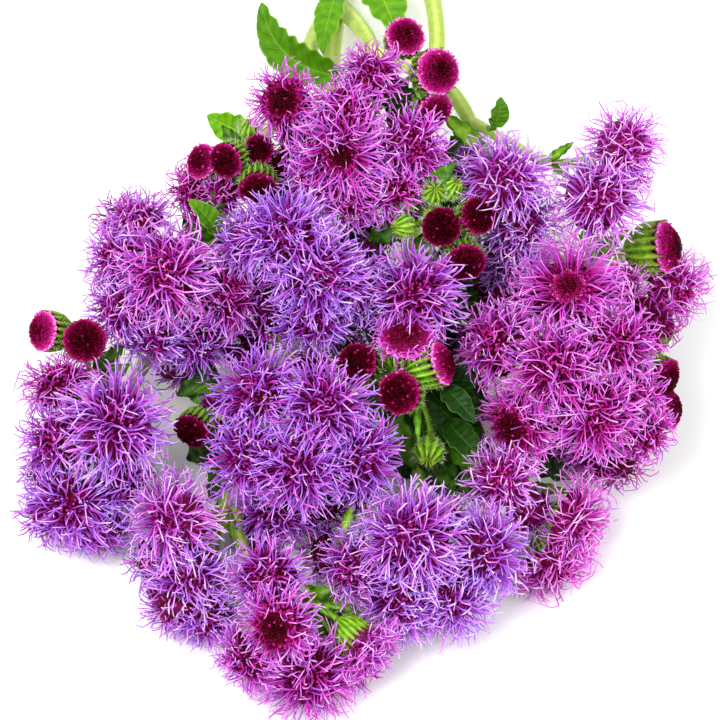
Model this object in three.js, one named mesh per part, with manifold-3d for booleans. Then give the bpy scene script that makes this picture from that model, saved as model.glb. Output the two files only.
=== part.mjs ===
// Ageratum: one cut flowering top, lying down.
// A main stem forks into branches; each branch ends in a spray of flower heads on thin stalks.
// All the heads together make one broad flower face that leans back from upright.
import * as THREE from 'three';
import { mergeVertices } from 'three/addons/utils/BufferGeometryUtils.js';
import Module from 'manifold-3d';

const wasm = await Module();
wasm.setup();

// ---------- Driving dimensions, in millimetres unless named otherwise ----------

const FACE_TILT = THREE.MathUtils.degToRad(60); // elevation that the flower face looks up at
const NEIGHBOUR_GAP = 0.3; // clear space between two pieces
const WELD = 1e-4; // corners nearer than this are one
const CENTRE = { x: 1.5, y: 25.4 }; // middle of the outline, on the surface it lies on

const MAIN_RADIUS = 2.4;
const STEM_SIDES = 8;
const BRANCH_SIDES = 5;
const MAIN_FLAT_HEIGHT = MAIN_RADIUS * Math.cos(Math.PI / STEM_SIDES); // axis height on its flat side
const BRANCH_TIP = 0.92; // a branch's radius at its fork, of its radius at the last bend
const HUB_RADIUS = 1.5; // the small knob that a spray's stalks spring from
const HUB_SOCKET = 0.6; // share of the knob's radius where the branch tip sits

const STALK = { root: 0.38, middle: 0.45, neck: 0.6, sides: 5, bow: 0.45, sunk: 0.5 };
const OPEN_CUP = { height: 4.65, rim: 2.7, ofCore: 0.85 };
const CUP_SHOULDER = { at: 0.3, wide: 0.82 }; // where a cup has swollen out, in shares of height and rim
const BUD_CUP_HEIGHT = 1.5; // of the bud's radius
const BUD_DOME = { wide: 0.94, tall: 0.8 }; // of its cup's rim, and of its own radius
const BUD_SIDES = 6;
const BUD_CORE = 0.95; // of the bud's radius
const CLOSED_HEIGHT = 1.6; // of the closed bud's radius
const CLOSED_PROFILE = [[0.3, 0.9], [0.65, 1], [1.1, 0.62], [1.35, 0.15]]; // shares of height and radius
const SEAT_DEPTH = { open: 2.5, half: 2.2, bud: 1.0, closed: 0 }; // crown of a head above its seat
const CUP_SHADE = NEIGHBOUR_GAP / 2; // florets start this far above the seat, cups stop this far below

const CORE = { most: 3.2, share: 0.45 }; // floret base dome: largest radius, and share of head size
const SPIKE_JITTER = { low: 0.84, high: 1.08 };
const SHORTEST_SPIKE = 1.35; // of the dome's radius; a face with less room stays bare
const SPIKE_CLEAR = 0.2; // florets keep this far from a neighbour's stalks and cell wall
const SPIKE_CUT = 0.4; // how much shorter a spike is tried when it meets something
const SPIKE_PROBES = 5; // places along a spike where its room is measured
const SPIKE_BASE = 0.33; // half width of a spike at its root, of the dome's radius
const STALK_SWELL = { low: 0.15, high: 0.1 }; // what a bent or widening stalk takes beyond its radius
const CELL = { beyond: 2, ahead: 0.05, least: 0.1 }; // how near a head must be to share a wall with another
const UNOPENED_SPIKE = 1.36;
const HALF_OPEN_CONE = 0.74; // cosine of the half angle of the unopened middle of a half-open head
const BARE_TOWARDS_PARTNER = 0.66; // cosine of the cone without spikes where two heads are grown together

const BLADE = { thickness: 0.66, wave: 0.25, notch: 0.84, tooth: 1.06, start: 0.07, lean: 0.8, round: 0.75 };
const PETIOLE = { width: 1.1, steps: 3, lead: 2.5, march: 0.1 };

const COLOURS = {
  stem: 0x8fae6a,
  stalk: 0x9dba72,
  leaf: 0x3f8a2c,
  bud: 0x6a0f3a,
  magenta: 0xb63fae,
  violet: 0x8e55c8,
};

// ---------- The frame of the flower face ----------

const ACROSS = new THREE.Vector3(1, 0, 0);
const UP = new THREE.Vector3(0, Math.sin(FACE_TILT), Math.cos(FACE_TILT));
const OUT = new THREE.Vector3(0, -Math.cos(FACE_TILT), Math.sin(FACE_TILT));

function onFace([across, up, out]) {
  return new THREE.Vector3()
    .addScaledVector(ACROSS, across)
    .addScaledVector(UP, up)
    .addScaledVector(OUT, out);
}

// ---------- Stem and branch routes: x right, y away, z up, each point with its radius ----------

const MAIN = [
  [-2, 118, MAIN_FLAT_HEIGHT, MAIN_RADIUS],
  [-2.6, 90, MAIN_FLAT_HEIGHT, MAIN_RADIUS],
  [-3.2, 77, MAIN_FLAT_HEIGHT + 0.7, 2.2],
  [-4, 63, 5, 2.0],
];

const BRANCHES = [
  // to the left side
  [[-4, 63, 5, 1.5], [-7, 54, 10, 1.35], [-10, 44, 13, 1.3], [-18, 28, 12, 1.2], [-27, 10, 10, 1.1],
    [-35, -8, 7, 1.0], 'k'],
  [[-14, 36, 12.5, 0.9], [-17, 27, 18, 0.85], 'b'],
  [[-24, 16, 11, 0.9], [-28, 8, 14, 0.9], 'l'],
  // under the middle, to the front left
  [[-4, 63, 5, 1.5], [-5, 45, 8, 1.35], [-8, 20, 7, 1.3], [-13, -5, 6, 1.2], [-19, -25, 6, 1.1],
    [-18, -38, 7, 1.0], [-12, -44, 8, 0.9], 'm'],
  [[-19, -25, 6, 0.9], [-20.6, -29, 7, 0.85], 't'],
  [[-6, 30, 8, 0.9], [-7, 16, 15, 0.85], 'c'],
  [[-11, 3, 7, 0.9], [-10, -10, 10, 0.85], 'j'],
  // up through the middle
  [[-4, 63, 5, 1.5], [0, 54, 12, 1.35], [2, 46, 17, 1.2], [1, 35, 24, 1.0], 'a'],
  [[2, 46, 17, 0.9], [7, 26, 24, 0.85], 'h'],
  // to the front right
  [[-3, 84, 2.9, 1.5], [5, 75, 4.6, 1.45], [11, 65, 7, 1.4], [13.2, 55, 9, 1.3], [11.5, 44, 10, 1.3],
    [9, 28, 9, 1.2], [8, 5, 8, 1.1], [9, -20, 6, 1.0], 'n'],
  [[8.5, 12, 8, 0.9], [8, -3, 14, 0.85], 'g'],
  [[9, -10, 7, 0.9], [16, -20, 7, 0.85], 'u'],
  // to the right side
  [[2, 46, 17, 1.3], [9, 41, 20, 1.2], [14.6, 35.4, 22, 1.2], [18.5, 27, 22, 1.1], [24, 14, 18, 1.0],
    [31, 2, 15, 0.95], 'q'],
  [[20, 22, 21, 0.85], [21, 17, 22, 0.8], 'r'],
  [[16.5, 31, 22, 0.85], [24, 23, 27, 0.8], 's'],
  [[26.5, 10, 17, 0.85], [32, 9, 15.5, 0.8], 'p'],
];

// ---------- Sprays ----------
// fork: where the stalks spring from, on the flower face (across, up, out).
// reach: how far the heads stand from the fork.
// A head: at (across, up), size, kind; lift moves it in or out, face turns it (across, up).

const SPRAYS = {
  a: { fork: [0, 36, 14.4], reach: 19, tone: 'magenta', heads: [
    { at: [-12, 40], size: 6.2, kind: 'half', face: [-0.25, 0.15] },
    { at: [2, 45], size: 5.8, kind: 'half' },
    { at: [-2.5, 38], size: 6.5, kind: 'open' },
    { at: [-3, 31.5], size: 8.5, kind: 'half' },
    { at: [8.5, 32.5], size: 7, kind: 'open' },
    { at: [5.5, 25.5], size: 6.5, kind: 'open' },
    { at: [-7.5, 27], size: 6, kind: 'open' },
    { at: [-2.5, 24], size: 6.5, kind: 'open' },
    { at: [7, 50], size: 2.9, kind: 'bud', face: [0.2, 0.35] },
    { at: [12, 44.5], size: 3.5, kind: 'bud', lift: 1, face: [0.45, 0.05] },
    { at: [11.5, 38.5], size: 2.8, kind: 'bud', lift: -4, face: [0.4, -0.5] },
  ] },
  b: { fork: [-18.5, 28.5, 13], reach: 11, tone: 'magenta', heads: [
    { at: [-27, 25], size: 4.6, kind: 'open', lift: -1 },
    { at: [-22.3, 24.4], size: 4.2, kind: 'open', lift: -2 },
    { at: [-24.7, 30.8], size: 2.6, kind: 'bud', lift: -2.5, face: [-0.6, 0.2] },
    { at: [-20.8, 30.8], size: 2.6, kind: 'bud', lift: 1.5, face: [-0.5, -0.3] },
    { at: [-15.8, 32.5], size: 2.2, kind: 'bud', lift: -0.5, face: [-0.1, 0.1] },
    { at: [-15.7, 26.3], size: 2.9, kind: 'bud', lift: 2, face: [0, -0.6] },
    { at: [-12, 30], size: 1.9, kind: 'bud', lift: -1.5, face: [0.5, 0] },
    { at: [-17, 36.5], size: 1.6, kind: 'closed' },
  ] },
  c: { fork: [-9, 14, 20.5], reach: 15, tone: 'violet', heads: [
    { at: [-11.5, 19.5], size: 8.5, kind: 'open' },
    { at: [-6, 13], size: 8.5, kind: 'open' },
    { at: [-7.5, 5.5], size: 7, kind: 'open', face: [0, -0.6] },
    { at: [-18, 19.5], size: 6.5, kind: 'open' },
    { at: [0.5, 10.5], size: 6, kind: 'open' },
  ] },
  l: { fork: [-29.5, 10.5, 15.4], reach: 15, tone: 'magenta', heads: [
    { at: [-30, 14], size: 9, kind: 'open' },
    { at: [-35.5, 23], size: 6.3, kind: 'open' },
    { at: [-38.5, 16.5], size: 6.5, kind: 'open' },
    { at: [-19, 10], size: 7.5, kind: 'open' },
    { at: [-38.5, 7.5], size: 6, kind: 'open' },
    { at: [-32, 2.5], size: 6.5, kind: 'open', lift: -4 },
    { at: [-24, 2], size: 6.8, kind: 'open', lift: -4 },
  ] },
  k: { fork: [-41, -14, 19], reach: 16.5, tone: 'violet', heads: [
    { at: [-37, -10], size: 10, kind: 'open' },
    { at: [-47.5, -12.5], size: 6.3, kind: 'open', lift: -5 },
    { at: [-45, -23.5], size: 8, kind: 'open', lift: -4 },
    { at: [-36, -20.5], size: 6, kind: 'open', lift: -6 },
    { at: [-46, -3], size: 5.5, kind: 'open', lift: -5 },
    { at: [-40.5, -28], size: 6.3, kind: 'open', lift: -4.8 },
    { at: [-49, 4.5], size: 3, kind: 'bud', lift: 6, face: [-0.75, 0.05] },
    { at: [-42.5, 3], size: 3.2, kind: 'bud', lift: 8, face: [0, 0.05] },
  ] },
  t: { fork: [-21.5, -25, 23.7], reach: 13, tone: 'violet', heads: [
    { at: [-30, -24.5], size: 8.5, kind: 'open' },
    { at: [-26.5, -34], size: 8, kind: 'open' },
    { at: [-24, -41], size: 6.2, kind: 'open', lift: 6.7, face: [-0.1, -0.6] },
  ] },
  m: { fork: [-8, -37, 32], reach: 13.5, tone: 'magenta', heads: [
    { at: [-14.5, -33], size: 6.8, kind: 'open', lift: -4 },
    { at: [-13, -41], size: 6.6, kind: 'half', lift: -1 },
    { at: [-7.5, -49], size: 8, kind: 'open' },
    { at: [1.5, -44.5], size: 6.5, kind: 'open', lift: -1, face: [0.6, -0.55] },
    { at: [-18, -47], size: 6, kind: 'open', lift: 3 },
  ] },
  n: { fork: [9.5, -31, 26.6], reach: 15, tone: 'violet', heads: [
    { at: [7, -26.5], size: 10.5, kind: 'open' },
    { at: [-2.5, -32], size: 6.8, kind: 'open' },
    { at: [6, -38], size: 7.2, kind: 'open', lift: -4 },
    { at: [15.5, -37.5], size: 7.5, kind: 'open', lift: -5 },
    { at: [21, -29], size: 8, kind: 'open' },
  ] },
  u: { fork: [24, -21.5, 21.6], reach: 12.5, tone: 'magenta', heads: [
    { at: [21.5, -17.5], size: 6.5, kind: 'open' },
    { at: [33.5, -24.5], size: 7.2, kind: 'open', lift: -2 },
    { at: [29.5, -32.5], size: 6.8, kind: 'open', lift: 1.5 },
  ] },
  q: { fork: [34, -3.5, 21.3], reach: 17, tone: 'magenta', heads: [
    { at: [32, 11.5], size: 9, kind: 'half', lift: 5 },
    { at: [20, 3.5], size: 7.8, kind: 'open', lift: 3 },
    { at: [40, 3.5], size: 7.5, kind: 'open' },
    { at: [29.5, -1], size: 8.5, kind: 'open' },
    { at: [36.5, -9], size: 8, kind: 'open' },
    { at: [23.5, -10.5], size: 7, kind: 'half' },
    { at: [43, -6], size: 6.2, kind: 'open', lift: -3 },
    { at: [45.5, -12.5], size: 5.5, kind: 'open' },
    { at: [37.5, -16.5], size: 6.5, kind: 'open', lift: -13 },
    { at: [47, -3], size: 3.2, kind: 'bud', lift: -6, face: [0.7, 0.1] },
    { at: [48, -7.5], size: 3.1, kind: 'bud', lift: -8, face: [0.8, -0.1] },
  ] },
  p: { fork: [38, 15.5, 7.2], reach: 12.6, tone: 'magenta', heads: [
    { at: [50, 10.5], size: 6.5, kind: 'open', lift: 6, face: [0.6, -0.2] },
    { at: [41, 10.5], size: 4.8, kind: 'open' },
    { at: [47.5, 17.5], size: 4, kind: 'bud', face: [0.85, 0.1] },
  ] },
  r: { fork: [22, 22, 15], reach: 14, tone: 'violet', heads: [
    { at: [22.5, 29], size: 8.3, kind: 'open' },
    { at: [25.5, 20.8], size: 7, kind: 'open', lift: -5 },
    { at: [23.5, 14.5], size: 7, kind: 'open', lift: -7 },
  ] },
  s: { fork: [28.5, 30.5, 20.5], reach: 12, tone: 'magenta', heads: [
    { at: [42, 34], size: 7, kind: 'half', lift: 6, face: [0.2, 0.15] },
    { at: [37, 25.5], size: 8, kind: 'open', face: [0, -0.1] },
    { at: [43.5, 26.5], size: 4.8, kind: 'open', lift: 2.5, face: [0.6, -0.3] },
  ] },
  h: { fork: [11, 22.5, 25], reach: 7, tone: 'magenta', heads: [
    { at: [12.5, 20.5], size: 2.8, kind: 'bud', face: [0, 0] },
    { at: [18.2, 22.2], size: 2.7, kind: 'bud', lift: 4.5, face: [0.5, 0.15] },
    { at: [16.3, 15], size: 2.9, kind: 'bud', lift: 5, face: [0.15, -0.45] },
    { at: [14.5, 27], size: 1.9, kind: 'closed', face: [0.5, 0.5] },
    { at: [11.5, 26], size: 1.7, kind: 'closed', face: [0.1, 0.3] },
    { at: [6, 20.5], size: 1.8, kind: 'closed', face: [-0.8, -0.1] },
  ] },
  g: { fork: [7, -1.5, 28], reach: 9.5, tone: 'violet', heads: [
    { at: [8.5, 11], size: 8.5, kind: 'open', lift: 4.5, face: [0, 0.35] },
    { at: [7, 4], size: 4.6, kind: 'half', face: [0, 0.55] },
    { at: [-0.5, -0.5], size: 3.1, kind: 'bud', face: [-0.35, 0.25] },
    { at: [6, -5], size: 3.2, kind: 'bud', face: [-0.35, 0] },
    { at: [12.5, -0.5], size: 3.3, kind: 'bud', face: [0.8, 0.2] },
    { at: [10.5, -15], size: 2.4, kind: 'closed', lift: -2, face: [-0.1, -0.6] },
  ] },
  j: { fork: [-9, -12, 26.3], reach: 15.5, tone: 'violet', heads: [
    { at: [-16.5, -4], size: 8, kind: 'open' },
    { at: [-5, -6.5], size: 8.3, kind: 'open' },
    { at: [-17.5, -15.5], size: 7.5, kind: 'open' },
    { at: [-9.5, -17], size: 8.3, kind: 'open' },
    { at: [1, -15.5], size: 7.8, kind: 'open' },
    { at: [-13, -25.5], size: 6.5, kind: 'open', lift: -5 },
    { at: [-26, -11], size: 2.7, kind: 'bud', lift: -1, face: [-0.4, -0.55], bow: 0 },
  ] },
};

// ---------- Leaves: base and tip on the flower face, look is the side its upper face turns to ----------

const LEAVES = [
  { base: [-3.5, 44.5, 6], tip: [-15, 55, 4], width: 9.5, teeth: 6, arch: 1.6, fold: 0.35,
    look: [0.25, 0.35, 0.9], from: [1, 36.5, 23] },
  { base: [-17.6, 34.4, -0.5], tip: [-24, 38, 0.5], width: 5, teeth: 4, arch: 0.6, fold: 0.3,
    look: [0, -0.3, 0.95], from: [-15.5, 31.5, 15.2] },
  { base: [-22, 19.8, 25.5], tip: [-26.4, 24.8, 28.5], width: 4, teeth: 3, arch: 0.6, fold: 0.5,
    look: [0.3, 0.2, 0.9], from: [-26, 12, 13] },
  { base: [21, 36.6, 9.5], tip: [22, 41, 10.5], width: 3.6, teeth: 3, arch: 0.5, fold: 0.4,
    look: [0.4, 0, 0.9], from: [20.2, 27, 24.5] },
  { base: [-3.8, 58.2, -18.4], tip: [-6, 48.5, -12], width: 5, teeth: 4, arch: 0.8, fold: 0.3,
    look: [-0.2, 0.5, 0.85], from: [-4, 63, 5] },
  { base: [2, 60.5, -23.5], tip: [7, 52, -18.5], width: 5.4, teeth: 4, arch: 0.8, fold: 0.3,
    look: [0.1, 0.5, 0.85], from: [-3.6, 68, 4] },
  { base: [13.4, -4.5, 33], tip: [17.6, -9.6, 36], width: 4.4, teeth: 3, arch: 0.6, fold: 0.4,
    look: [0.2, 0.2, 0.9], from: [8.2, -8, 17.5] },
  { base: [13.8, -10, 22], tip: [19, -15.6, 25], width: 5, teeth: 4, arch: 0.8, fold: 0.4,
    look: [0, 0.1, 0.95], from: [13, -15.5, 8] },
];

// ---------- Solids: meshes made closed, joined and cut ----------

function toSolid(geometry) {
  const bare = new THREE.BufferGeometry();
  bare.setAttribute('position', geometry.getAttribute('position'));
  bare.setIndex(geometry.getIndex());
  const merged = mergeVertices(bare, WELD);
  return new wasm.Manifold(new wasm.Mesh({
    numProp: 3,
    vertProperties: new Float32Array(merged.getAttribute('position').array),
    triVerts: new Uint32Array(merged.getIndex().array),
  }));
}

function toGeometry(solid) {
  const mesh = solid.getMesh();
  const geometry = new THREE.BufferGeometry();
  geometry.setAttribute('position', new THREE.BufferAttribute(new Float32Array(mesh.vertProperties), 3));
  geometry.setIndex(new THREE.BufferAttribute(new Uint32Array(mesh.triVerts), 1));
  geometry.computeVertexNormals();
  return geometry;
}

function joinAll(solids) {
  return solids.reduce((whole, next) => whole.add(next));
}

// The largest connected body, so that no loose scrap stays behind a cut.
function mainBody(solid) {
  const bodies = solid.decompose();
  return bodies.reduce((best, body) => (body.volume() > best.volume() ? body : best));
}

// A closed skin over rings of points, each ring anticlockwise about the way it travels.
function skinRings(rings) {
  const sides = rings[0].length;
  const index = [];
  for (let r = 0; r + 1 < rings.length; r += 1) {
    for (let k = 0; k < sides; k += 1) {
      const next = (k + 1) % sides;
      const [a, b] = [r * sides + k, r * sides + next];
      const [c, d] = [b + sides, a + sides];
      index.push(a, b, c, a, c, d);
    }
  }
  const last = (rings.length - 1) * sides;
  for (let k = 1; k + 1 < sides; k += 1) {
    index.push(0, k + 1, k, last, last + k, last + k + 1);
  }
  const geometry = new THREE.BufferGeometry().setFromPoints(rings.flat());
  geometry.setIndex(index);
  return geometry;
}

// A tapering rod through points; the first side vector is carried along without twisting.
function taperedRod(points, radii, sides, turn = 0) {
  const rings = [];
  let side = null;
  let before = null;
  points.forEach((point, i) => {
    const ahead = points[Math.min(i + 1, points.length - 1)];
    const behind = points[Math.max(i - 1, 0)];
    const way = ahead.clone().sub(behind).normalize();
    if (side === null) {
      const helper = Math.abs(way.z) < 0.8 ? new THREE.Vector3(0, 0, 1) : new THREE.Vector3(0, 1, 0);
      side = helper.addScaledVector(way, -helper.dot(way)).normalize();
    } else {
      side.applyQuaternion(new THREE.Quaternion().setFromUnitVectors(before, way));
    }
    before = way;
    const other = way.clone().cross(side);
    rings.push(Array.from({ length: sides }, (_, k) => {
      const angle = turn + (2 * Math.PI * k) / sides;
      return point.clone()
        .addScaledVector(side, radii[i] * Math.cos(angle))
        .addScaledVector(other, radii[i] * Math.sin(angle));
    }));
  });
  return skinRings(rings);
}

// Repeatable random numbers from 0 to 1.
function seededRandom(seed) {
  let state = seed >>> 0;
  return () => {
    state = (state + 0x6d2b79f5) >>> 0;
    let mixed = Math.imul(state ^ (state >>> 15), state | 1);
    mixed ^= mixed + Math.imul(mixed ^ (mixed >>> 7), mixed | 61);
    return ((mixed ^ (mixed >>> 14)) >>> 0) / 4294967296;
  };
}

// ---------- Where every head, cup and stalk lies ----------

function placeHead(spray, head, key) {
  const fork = onFace(spray.fork);
  const dx = head.at[0] - spray.fork[0];
  const dy = head.at[1] - spray.fork[1];
  const rise = Math.sqrt(Math.max(spray.reach ** 2 - dx ** 2 - dy ** 2, 0)) + (head.lift ?? 0);
  const crown = onFace([head.at[0], head.at[1], spray.fork[2] + rise]);
  let axis = crown.clone().sub(fork).normalize();
  if (head.face) {
    const [fx, fy] = head.face;
    axis = onFace([fx, fy, Math.sqrt(1 - fx ** 2 - fy ** 2)]);
  }
  const seat = crown.clone().addScaledVector(axis, -SEAT_DEPTH[head.kind]);
  const blooms = head.kind === 'open' || head.kind === 'half';
  const cupShare = head.kind === 'bud' ? BUD_CUP_HEIGHT : CLOSED_HEIGHT;
  const cupHeight = blooms ? OPEN_CUP.height : cupShare * head.size;
  const core = blooms ? Math.min(CORE.most, CORE.share * head.size) : head.size * BUD_CORE;
  const cupRim = blooms ? Math.min(OPEN_CUP.rim, core * OPEN_CUP.ofCore) : head.size;
  const foot = seat.clone().addScaledVector(axis, -cupHeight);
  const bow = foot.clone().addScaledVector(axis, -(head.bow ?? STALK.bow) * foot.distanceTo(fork));
  const route = new THREE.QuadraticBezierCurve3(fork, bow, foot);
  return { ...head, key, fork, axis, seat, blooms, cupHeight, cupRim, foot, route, core };
}

const placed = Object.fromEntries(Object.entries(SPRAYS).map(([letter, spray]) => [
  letter,
  spray.heads.map((head, i) => placeHead(spray, head, `${letter}_${i + 1}`)),
]));
const everyHead = Object.values(placed).flat();

// ---------- Main stem ----------

function routePoints(branch) {
  const points = branch.filter((step) => Array.isArray(step));
  const end = branch.find((step) => typeof step === 'string');
  const places = points.map(([x, y, z]) => new THREE.Vector3(x, y, z));
  const radii = points.map((step) => step[3]);
  if (end) {
    const fork = onFace(SPRAYS[end].fork);
    const way = fork.clone().sub(places.at(-1)).normalize();
    places.push(fork.addScaledVector(way, -(HUB_RADIUS * HUB_SOCKET + NEIGHBOUR_GAP)));
    radii.push(radii.at(-1) * BRANCH_TIP);
  }
  return { places, radii };
}

function stemSolid(extra) {
  const main = routePoints(MAIN);
  const halfSide = Math.PI / STEM_SIDES;
  const rods = [taperedRod(main.places, main.radii.map((r) => r + extra), STEM_SIDES, halfSide)];
  BRANCHES.forEach((branch) => {
    const { places, radii } = routePoints(branch);
    if (extra > 0) {
      const way = places.at(-1).clone().sub(places.at(-2)).normalize();
      places.at(-1).addScaledVector(way, extra);
    }
    rods.push(taperedRod(places, radii.map((r) => r + extra), BRANCH_SIDES));
  });
  return joinAll(rods.map(toSolid));
}

// ---------- Stalks with their cups ----------

function stalkRod(head) {
  const root = head.route.getPointAt((HUB_RADIUS * STALK.sunk) / head.route.getLength());
  const along = head.face ? [root, head.route.getPoint(0.5), head.foot] : [root, head.foot];
  const radii = head.face ? [STALK.root, STALK.middle, STALK.neck] : [STALK.root, STALK.neck];
  const level = (share) => head.foot.clone().addScaledVector(head.axis, share * head.cupHeight);
  if (head.kind === 'closed') {
    CLOSED_PROFILE.forEach(([share, part]) => {
      along.push(level(share));
      radii.push(part * head.size);
    });
    return taperedRod(along, radii, STALK.sides);
  }
  along.push(level(CUP_SHOULDER.at), level(1 - CUP_SHADE / head.cupHeight));
  radii.push(head.cupRim * CUP_SHOULDER.wide, head.cupRim);
  return taperedRod(along, radii, head.kind === 'bud' ? BUD_SIDES : STALK.sides);
}

function stalksSolid(heads, stemWithGap) {
  const hub = new THREE.OctahedronGeometry(HUB_RADIUS).translate(...heads[0].fork.toArray());
  const rods = heads.map((head) => toSolid(stalkRod(head)));
  return mainBody(joinAll([toSolid(hub), ...rods]).subtract(stemWithGap));
}

// ---------- Floret tufts and bud domes ----------

// The upper half of a once-divided icosahedron with a corner at its pole: 40 faces on a ten-sided foot.
function unitDome() {
  const ball = mergeVertices(stripped(new THREE.IcosahedronGeometry(1, 1)), WELD);
  const at = ball.getAttribute('position');
  const pole = new THREE.Vector3(-1, (1 + Math.sqrt(5)) / 2, 0).normalize();
  const turn = new THREE.Quaternion().setFromUnitVectors(pole, new THREE.Vector3(0, 0, 1));
  const points = Array.from({ length: at.count }, (_, i) => (
    new THREE.Vector3().fromBufferAttribute(at, i).applyQuaternion(turn)));
  const index = ball.getIndex().array;
  const faces = [];
  for (let i = 0; i < index.length; i += 3) {
    const face = [index[i], index[i + 1], index[i + 2]];
    const middle = face.reduce((sum, v) => sum + points[v].z, 0) / 3;
    if (middle > WELD) faces.push(face);
  }
  const foot = [...new Set(faces.flat())].filter((v) => Math.abs(points[v].z) < WELD);
  foot.sort((v, w) => Math.atan2(points[v].y, points[v].x) - Math.atan2(points[w].y, points[w].x));
  return { points, faces, foot };
}

function stripped(geometry) {
  geometry.deleteAttribute('normal');
  geometry.deleteAttribute('uv');
  return geometry;
}

const DOME = unitDome();

// Where a head's dome stands: its corners and the way each face looks, in place.
function domeInPlace(head, radius, squash = 1) {
  const turn = new THREE.Quaternion().setFromUnitVectors(new THREE.Vector3(0, 0, 1), head.axis);
  const origin = head.seat.clone().addScaledVector(head.axis, CUP_SHADE);
  const corners = DOME.points.map((point) => (
    point.clone().multiplyScalar(radius).multiply(new THREE.Vector3(1, 1, squash))
      .applyQuaternion(turn).add(origin)));
  const looks = DOME.faces.map((face) => (
    face.reduce((sum, v) => sum.add(DOME.points[v]), new THREE.Vector3()).normalize()));
  const ways = looks.map((look) => look.clone().applyQuaternion(turn));
  return { head, origin, corners, looks, ways, open: new Set() };
}

// The flat ten-sided underside of a dome, as loose triangles.
function domeFoot({ corners }) {
  const foot = DOME.foot.map((v) => corners[v]);
  return foot.slice(2).flatMap((point, k) => [foot[0], point, foot[k + 1]]);
}

// How far a ray from a head's seat may run before it meets the ground or the wall shared with a neighbour.
function cellLimit(head, ray) {
  const start = head.seat.z + head.axis.z * CUP_SHADE;
  let limit = ray.z < 0 ? start / -ray.z : Infinity;
  everyHead.forEach((other) => {
    if (other === head || other.kind === 'closed') return;
    const between = other.seat.clone().sub(head.seat);
    const apart = between.length();
    if (apart > head.size + other.size + CELL.beyond) return;
    const slack = apart - head.core - other.core;
    const spikes = Math.max(head.size + other.size - head.core - other.core, CELL.least);
    const share = (head.size - head.core) / spikes;
    const wall = head.core + Math.max(slack, 0) * share - SPIKE_CLEAR / 2;
    const towards = ray.dot(between) / apart;
    if (towards > CELL.ahead) limit = Math.min(limit, wall / towards);
  });
  return limit;
}

function distanceToSegment(point, a, b) {
  const line = b.clone().sub(a);
  const t = THREE.MathUtils.clamp(point.clone().sub(a).dot(line) / line.lengthSq(), 0, 1);
  return point.distanceTo(a.clone().addScaledVector(line, t));
}

const stemSegments = [MAIN, ...BRANCHES].flatMap((branch) => {
  const { places, radii } = routePoints(branch);
  return places.slice(1).map((end, i) => {
    const radius = Math.max(radii[i], radii[i + 1]);
    return { a: places[i], b: end, radius };
  });
});
const stalkSegments = everyHead.flatMap((head) => {
  const middle = head.route.getPoint(0.5);
  return [
    { a: head.fork, b: middle, radius: STALK.middle + STALK_SWELL.low, head },
    { a: middle, b: head.foot, radius: STALK.neck + STALK_SWELL.high, head },
  ];
});

// Room left between a point and everything green that is not the head's own cup.
function roomAt(point, head) {
  let room = Infinity;
  stemSegments.forEach(({ a, b, radius }) => {
    room = Math.min(room, distanceToSegment(point, a, b) - radius);
  });
  stalkSegments.forEach((part) => {
    if (part.head === head) return;
    room = Math.min(room, distanceToSegment(point, part.a, part.b) - part.radius);
  });
  everyHead.forEach((other) => {
    if (other === head) return;
    const from = point.clone().sub(other.foot);
    const height = from.dot(other.axis);
    const radial = Math.sqrt(Math.max(from.lengthSq() - height ** 2, 0));
    const above = height - other.cupHeight;
    const below = -height;
    room = Math.min(room, Math.max(radial - other.cupRim, above, below));
  });
  return room;
}

function isClear(head, ray, reach) {
  const origin = head.seat.clone().addScaledVector(head.axis, CUP_SHADE);
  const base = head.core * SPIKE_BASE;
  for (let probe = 0; probe <= SPIKE_PROBES; probe += 1) {
    const share = probe / SPIKE_PROBES;
    const at = head.core + (reach - head.core) * share;
    const point = origin.clone().addScaledVector(ray, at);
    if (roomAt(point, head) < base * (1 - share) + SPIKE_CLEAR) return false;
  }
  return true;
}

// A head's florets: every face of its dome carries a three-sided spike, as long as its room allows.
function tuftTriangles(dome, leans, random) {
  const { head, origin } = dome;
  const shortest = head.core * SHORTEST_SPIKE;
  return DOME.faces.flatMap((face, i) => {
    const [a, b, c] = face.map((v) => dome.corners[v]);
    const ray = dome.ways[i];
    const jitter = THREE.MathUtils.lerp(SPIKE_JITTER.low, SPIKE_JITTER.high, random());
    if (dome.open.has(i)) return [];
    if (leans.some((lean) => lean.dot(ray) > BARE_TOWARDS_PARTNER)) return [a, b, c];
    const unopened = head.kind === 'half' && dome.looks[i].z > HALF_OPEN_CONE;
    let reach = Math.min(unopened ? head.core * UNOPENED_SPIKE : head.size * jitter, cellLimit(head, ray));
    while (reach > shortest && !isClear(head, ray, reach)) reach -= SPIKE_CUT;
    if (reach <= shortest) return [a, b, c];
    const tip = origin.clone().addScaledVector(ray, reach);
    return [a, b, tip, b, c, tip, c, a, tip];
  });
}

// Pairs of neighbouring heads that hold a spray's florets together, shortest links first.
function nearestLinks(heads) {
  const joined = [heads[0]];
  const waiting = heads.slice(1);
  const links = [];
  while (waiting.length > 0) {
    let best = null;
    joined.forEach((from) => waiting.forEach((to) => {
      const apart = from.seat.distanceTo(to.seat);
      if (best === null || apart < best.apart) best = { from, to, apart };
    }));
    links.push(best);
    joined.push(best.to);
    waiting.splice(waiting.indexOf(best.to), 1);
  }
  return links;
}

// The face of a dome that looks most nearly a given way, not used before.
function facingFace(dome, way) {
  const scores = dome.ways.map((look, i) => (dome.open.has(i) ? -Infinity : look.dot(way)));
  return scores.indexOf(Math.max(...scores));
}

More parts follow.
